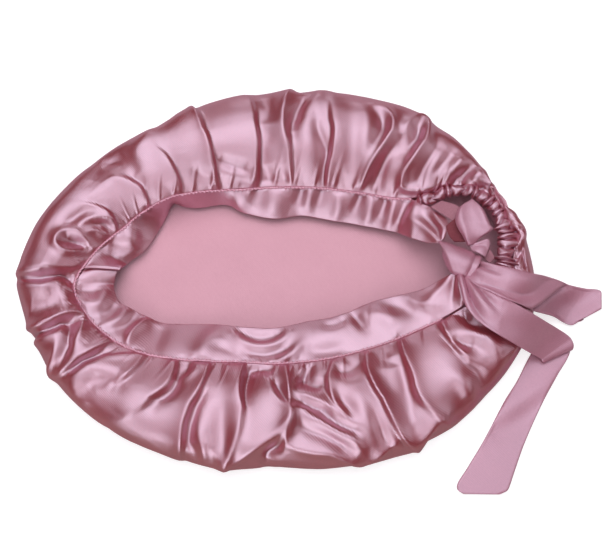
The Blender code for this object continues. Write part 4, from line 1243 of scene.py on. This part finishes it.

# Each tie's edges, read off the photograph: its far edge's column, row and height in millimetres, then its
# near edge's column, row and height
TAIL_RIGHT = (
    (476, 262, 26, 466, 277, 26),
    (484, 262, 30, 476, 286, 30),
    (497.5, 265.5, 32.5, 487, 290.5, 32.5),
    (515, 269, 33.5, 503, 298, 33.5),
    (530, 273, 31, 518, 304, 31),
    (543.5, 275.5, 24, 533, 311, 23),
    (556, 279.5, 15, 544, 314, 14),
    (569.5, 285, 7, 554, 317, 6),
    (585, 288.5, 2.5, 562, 322, 2),
    (600.5, 291, 1.4, 568.5, 325, 1.4),
    (601.5, 299.5, 1.4, 573.5, 325, 1.4),
    (601.5, 309, 1.4, 582, 319.5, 1.4),
)
TAIL_FRONT = (
    (470, 277, 26, 456.5, 275, 25),
    (475, 284, 29, 460.5, 289, 27.5),
    (486.5, 290.5, 31.5, 464.5, 304, 29.5),
    (499, 296, 32.5, 475.5, 319, 31.5),
    (514, 303, 32.5, 494.5, 332.5, 31.5),
    (531, 312.5, 28.5, 510, 341.5, 27),
    (546, 321.5, 21, 522, 348.5, 19.5),
    (560, 330, 11.5, 532, 354, 10),
    (570, 337.5, 7, 540.5, 358.5, 6),
    (573.5, 344.5, 5.6, 542, 361, 5.0),
    (572.5, 348.5, 4.2, 543, 361.5, 3.8),
    (568, 343, 3.2, 540, 354, 3.0),
    (566.5, 341.5, 1.8, 534, 351, 1.8),
    (570, 352, 1.4, 528.5, 358, 1.4),
    (557, 376, 1.4, 517, 381, 1.4),
    (543, 402, 1.4, 504.5, 401, 1.4),
    (525, 442, 1.4, 484, 440, 1.4),
    (514, 473, 1.4, 466, 470, 1.4),
    (510, 485, 1.4, 457.5, 483.5, 1.4),
    (507, 491, 1.4, 457.5, 490, 1.4),
    (500, 494.5, 1.4, 463, 494, 1.4),
)
# The loop stands up from the knot and folds over at its top, where its back shows
TIE_LOOP = (
    (475, 245, 26, 467, 246, 26),
    (481, 238, 29, 463.5, 238, 28.5),
    (491.5, 231, 31.5, 458, 229, 30),
    (493.5, 228.5, 32, 456, 224.5, 30.5),
    (490.5, 224.5, 32.5, 455, 219.5, 31),
    (484, 210, 32, 457.5, 210, 31),
    (478, 203, 30.5, 463, 203.5, 30),
    (473.5, 199, 28.5, 470, 199.5, 28.5),
)
LOOP_BACK = (
    (467, 212, 27, 452, 224, 26.5),
    (459.5, 206.5, 27, 450.5, 219.5, 26),
    (452, 203, 25.5, 441, 213, 25),
    (442, 200, 23.5, 430.5, 206.5, 23.5),
)
# Under the loop its inner side shows, turned away from the light, and its colour is darkened as painted shade
LOOP_INSIDE = (
    (457, 217, 27, 446, 226, 25.5),
    (463, 231, 25.5, 448.5, 235, 24.5),
    (469, 242, 25, 454, 242, 24),
)
TIE_STUB = (
    (468.5, 244.5, 25.5, 472, 251, 25.5),
    (479, 242, 27, 477, 252.5, 27),
    (488, 239, 26.8, 482, 255.5, 26.8),
    (490, 245.5, 25.6, 484.5, 257.5, 25.8),
)
STUB_BACK = (
    (487, 246.5, 24.2, 481, 256, 24),
    (491, 251, 23.5, 485, 260, 23),
    (495, 259, 22.5, 490, 263.5, 22),
)
KNOT_WRAP = (
    (441, 243.5, 18, 479, 257, 19),
    (438.5, 240.5, 22, 482, 256, 23),
    (438.5, 241, 26, 482.5, 256.5, 27),
    (442, 247, 29.6, 481.5, 259.5, 30),
    (446, 256, 31.2, 479, 265.5, 31.2),
    (449, 265, 30.2, 476, 271.5, 30.2),
    (451.5, 272.5, 27.2, 471, 277.5, 27.4),
    (453, 275, 23.5, 469, 279.5, 24),
    (453, 270, 20, 471, 274, 20),
)

# One row for each fold of a tie, in the columns of the crown's folds, but with lengths
# along the tie, in millimetres, for the clock angles, and shares from its far edge
TAIL_RIGHT_FOLDS = (
    (0.8, 2.4, 5, 10, 1.3, 1.0, 1.0, ((45, 1.0), (57, 0.55), (69, 0.02))),
    (-1.6, 0, 4, 4, 1.8, 1.0, 0.8, ((51, 1.0), (63, 0.55), (74, 0.1))),
    (1.3, 0, 5, 4, 1.7, 0.8, 0.8, ((30, 0.98), (44, 0.5), (54, 0.05))),
    (1.6, 0, 2, 5, 1.4, 1.0, 0.2, ((0, 0.12), (8, 0.2), (20, 0.3))),
    (-1.6, 0, 2.5, 2.5, 1.5, 1.0, 0.2, ((0, 0.42), (10, 0.42), (24, 0.45))),
    (1.5, 0, 2.5, 4, 1.5, 0.8, 0.6, ((10, 0.8), (24, 0.72), (40, 0.6))),
    (-1.2, 0, 4, 4, 1.8, 0.5, 0.5, ((22, 0.2), (34, 0.25), (44, 0.3))),
    (1.0, 0, 6, 6, 2.0, 0.7, 0.7, ((72, 0.9), (82, 0.5), (88, 0.1))),
)
TAIL_FRONT_FOLDS = (
    (2.4, 0, 2.5, 2.0, 1.4, 1.0, 0.3, ((0, 0.5), (10, 0.6), (20, 0.72), (32, 0.86))),
    (-2.0, 0, 2.0, 2.0, 1.4, 1.0, 0.3, ((0, 0.75), (10, 0.82), (20, 0.9))),
    (-2.6, 0, 3.0, 3.5, 1.5, 1.0, 0.3, ((0, 0.28), (12, 0.36), (24, 0.5), (36, 0.62))),
    (1.8, 0, 2.0, 3.0, 1.5, 1.0, 0.3, ((0, 0.08), (14, 0.15), (30, 0.32))),
    (-1.6, 0, 2.5, 3.5, 1.5, 0.5, 0.7, ((16, 0.04), (26, 0.12), (34, 0.10))),
    (1.2, 0, 7, 7, 2.0, 0.5, 0.8, ((38, 0.7), (52, 0.5), (66, 0.45))),
    (-0.8, 0, 6, 6, 2.0, 0.8, 0.8, ((118, 0.1), (132, 0.5), (146, 0.9))),
    (0.8, 0, 8, 8, 2.0, 0.8, 0.8, ((140, 0.1), (152, 0.5), (160, 0.9))),
)
LOOP_FOLDS = (
    (1.2, 0, 2.0, 5.0, 1.4, 1.0, 0.6, ((2, 0.72), (12, 0.78), (24, 0.85))),
    (-0.8, 0, 4.0, 4.0, 1.8, 0.3, 0.8, ((8, 0.4), (18, 0.45), (28, 0.5))),
    (1.2, 0, 3.0, 3.0, 1.6, 0.6, 0.8, ((8, 0.12), (18, 0.12), (28, 0.2))),
)
STUB_FOLDS = (
    (0.6, 0, 2.0, 2.0, 1.5, 0.8, 0.8, ((1, 0.3), (6, 0.35), (10, 0.5))),
)
WRAP_FOLDS = (
    (-1.1, 0, 1.0, 2.6, 1.3, 0.6, 1.0, ((5, 0.86), (12, 0.84), (20, 0.80), (26, 0.75))),
    (0.35, 0, 4.0, 4.0, 1.8, 0.9, 0.5, ((5, 0.2), (12, 0.25), (20, 0.35))),
)


def make_tie(name, rows, folds, finish, bulge=0.0, sides=21):
    """One flat tie as a double layer of cloth, smooth along its length, with its folds."""
    rows = np.array(rows, dtype=float)
    far_edge = photo_places(rows[:, 0], rows[:, 1], rows[:, 2])
    near_edge = photo_places(rows[:, 3], rows[:, 4], rows[:, 5])
    rows = np.concatenate([far_edge, near_edge], axis=1)
    places = places_along(rows)
    table = np.concatenate([places[:, None], rows], axis=1)
    wanted = np.linspace(0.0, places[-1], int(places[-1] / TIE_COLUMN))
    read = smooth_rows(table, wanted)
    shares = 0.5 - 0.5 * np.cos(np.linspace(0.0, np.pi, sides))
    shares = 0.6 * shares + 0.4 * np.linspace(0.0, 1.0, sides)
    face = strip_grid(read[:, 0:3], read[:, 3:6], shares, bulge)
    face = face[:, ::-1]
    shares = shares[::-1]

    def tie_points(lengths, across):
        here = smooth_rows(table, lengths)
        return here[:, 0:3] + (here[:, 3:6] - here[:, 0:3]) * across[:, None]

    def near_lengths(lengths, width):
        low = lengths.min() - 3.0 * width
        high = lengths.max() + 3.0 * width
        return np.nonzero((wanted > low) & (wanted < high))[0]

    up = face_normals(face, ring=False)
    lift, lean = lift_folds(face, up, folds, tie_points, near_lengths)
    width = np.linalg.norm(read[:, 0:3] - read[:, 3:6], axis=1)[:, None]
    from_edge = np.minimum(shares, 1.0 - shares)[None] * width
    lift = lift * TIE_FULLNESS * np.clip(from_edge / TIE_EDGE_REACH, TIE_EDGE_FULLNESS, 1.0)
    lift -= TIE_EDGE_DROP * np.exp(-((from_edge / TIE_EDGE_ROUNDING) ** 2))
    face = face + up * lift[..., None] + lean
    thinning = (1.0 - TIE_EDGE_THICKNESS) * np.clip(from_edge / TIE_EDGE_SEAM, 0.0, 1.0)
    thickness = TIE_THICKNESS * (TIE_EDGE_THICKNESS + thinning)
    under = face - face_normals(face, ring=False) * thickness[..., None]
    face[..., 2] = np.maximum(face[..., 2], TIE_LOWEST_FACE)
    under[..., 2] = np.maximum(under[..., 2], TIE_LOWEST_BACK)
    made = strip_object(name, face, under)
    made.data.materials.append(finish)
    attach(made, "root")
    return made


tie_finish = satin("tie_satin", colour=(0.41, 0.136, 0.185), shade=(0.33, 0.100, 0.139),
                   roughness=0.48, gloss=3.3)
tie_back = satin("tie_back", colour=(0.36, 0.155, 0.19), shade=(0.30, 0.12, 0.15), roughness=0.75, gloss=1.5)
tail_right = make_tie("tail_right_satin", TAIL_RIGHT, TAIL_RIGHT_FOLDS, tie_finish)
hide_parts("tie_tail_right")
tail_front = make_tie("tail_front_satin", TAIL_FRONT, TAIL_FRONT_FOLDS, tie_finish)
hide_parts("tie_tail_front")
loop = make_tie("loop_satin", TIE_LOOP, LOOP_FOLDS, tie_finish, bulge=1.2)
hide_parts("tie_loop")
loop_back = make_tie("loop_back", LOOP_BACK, (), tie_back)
# The loop's inside is the tie's matte back, painted dark as the shade under the loop
tie_inside_painted_shade = satin("tie_inside_painted_shade", colour=(0.20, 0.045, 0.055), shade=(0.16, 0.03, 0.04),
                   roughness=0.8, gloss=1.4)
loop_inside = make_tie("loop_inside", LOOP_INSIDE, (), tie_inside_painted_shade)
stub = make_tie("stub_satin", TIE_STUB, STUB_FOLDS, tie_finish)
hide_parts("tie_stub")
stub_back = make_tie("stub_back", STUB_BACK, (), tie_back)
wrap = make_tie("knot_satin", KNOT_WRAP, WRAP_FOLDS, tie_finish, bulge=1.2, sides=41)
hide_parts("tie_knot")

# Inside the wrap the other end is drawn up into a tight bundle
BUNDLE_COLUMNS = 72
BUNDLE_ROWS = 26
BUNDLE_MIDDLE = np.array([113.5, 4.6, 24.2])
BUNDLE_HALF_LENGTH = 9.0
BUNDLE_HALF_DEPTH = 9.5
BUNDLE_HALF_HEIGHT = 5.2
BUNDLE_SKEW = 3.5
BUNDLE_PLEATS = 9
BUNDLE_PLEAT_DEPTH = 0.06
BUNDLE_BLUNTNESS = 3.2
BUNDLE_END_SIZE = 0.28

bundle_round = np.arange(BUNDLE_COLUMNS) * (2.0 * np.pi / BUNDLE_COLUMNS)
bundle_along = np.sin(np.linspace(-np.pi / 2.0, np.pi / 2.0, BUNDLE_ROWS))
around, along = np.meshgrid(bundle_round, bundle_along, indexing="ij")
bundle_size = (1.0 - np.abs(along) ** BUNDLE_BLUNTNESS) ** 0.5 * (1.0 - BUNDLE_END_SIZE) + BUNDLE_END_SIZE
bundle_size = bundle_size * (1.0 + BUNDLE_PLEAT_DEPTH * np.sin(BUNDLE_PLEATS * around + 2.0 * along))
bundle_y = np.sin(around) * BUNDLE_HALF_DEPTH * bundle_size
bundle_z = np.cos(around) * BUNDLE_HALF_HEIGHT * bundle_size
bundle_x = along * BUNDLE_HALF_LENGTH - BUNDLE_SKEW * bundle_y / BUNDLE_HALF_DEPTH
bundle_points = BUNDLE_MIDDLE + np.stack([bundle_x, bundle_y, bundle_z], axis=-1)
bundle = tube_object("knot_bundle", bundle_points.transpose(1, 0, 2))
bundle.data.materials.append(tie_finish)
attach(bundle, "root")
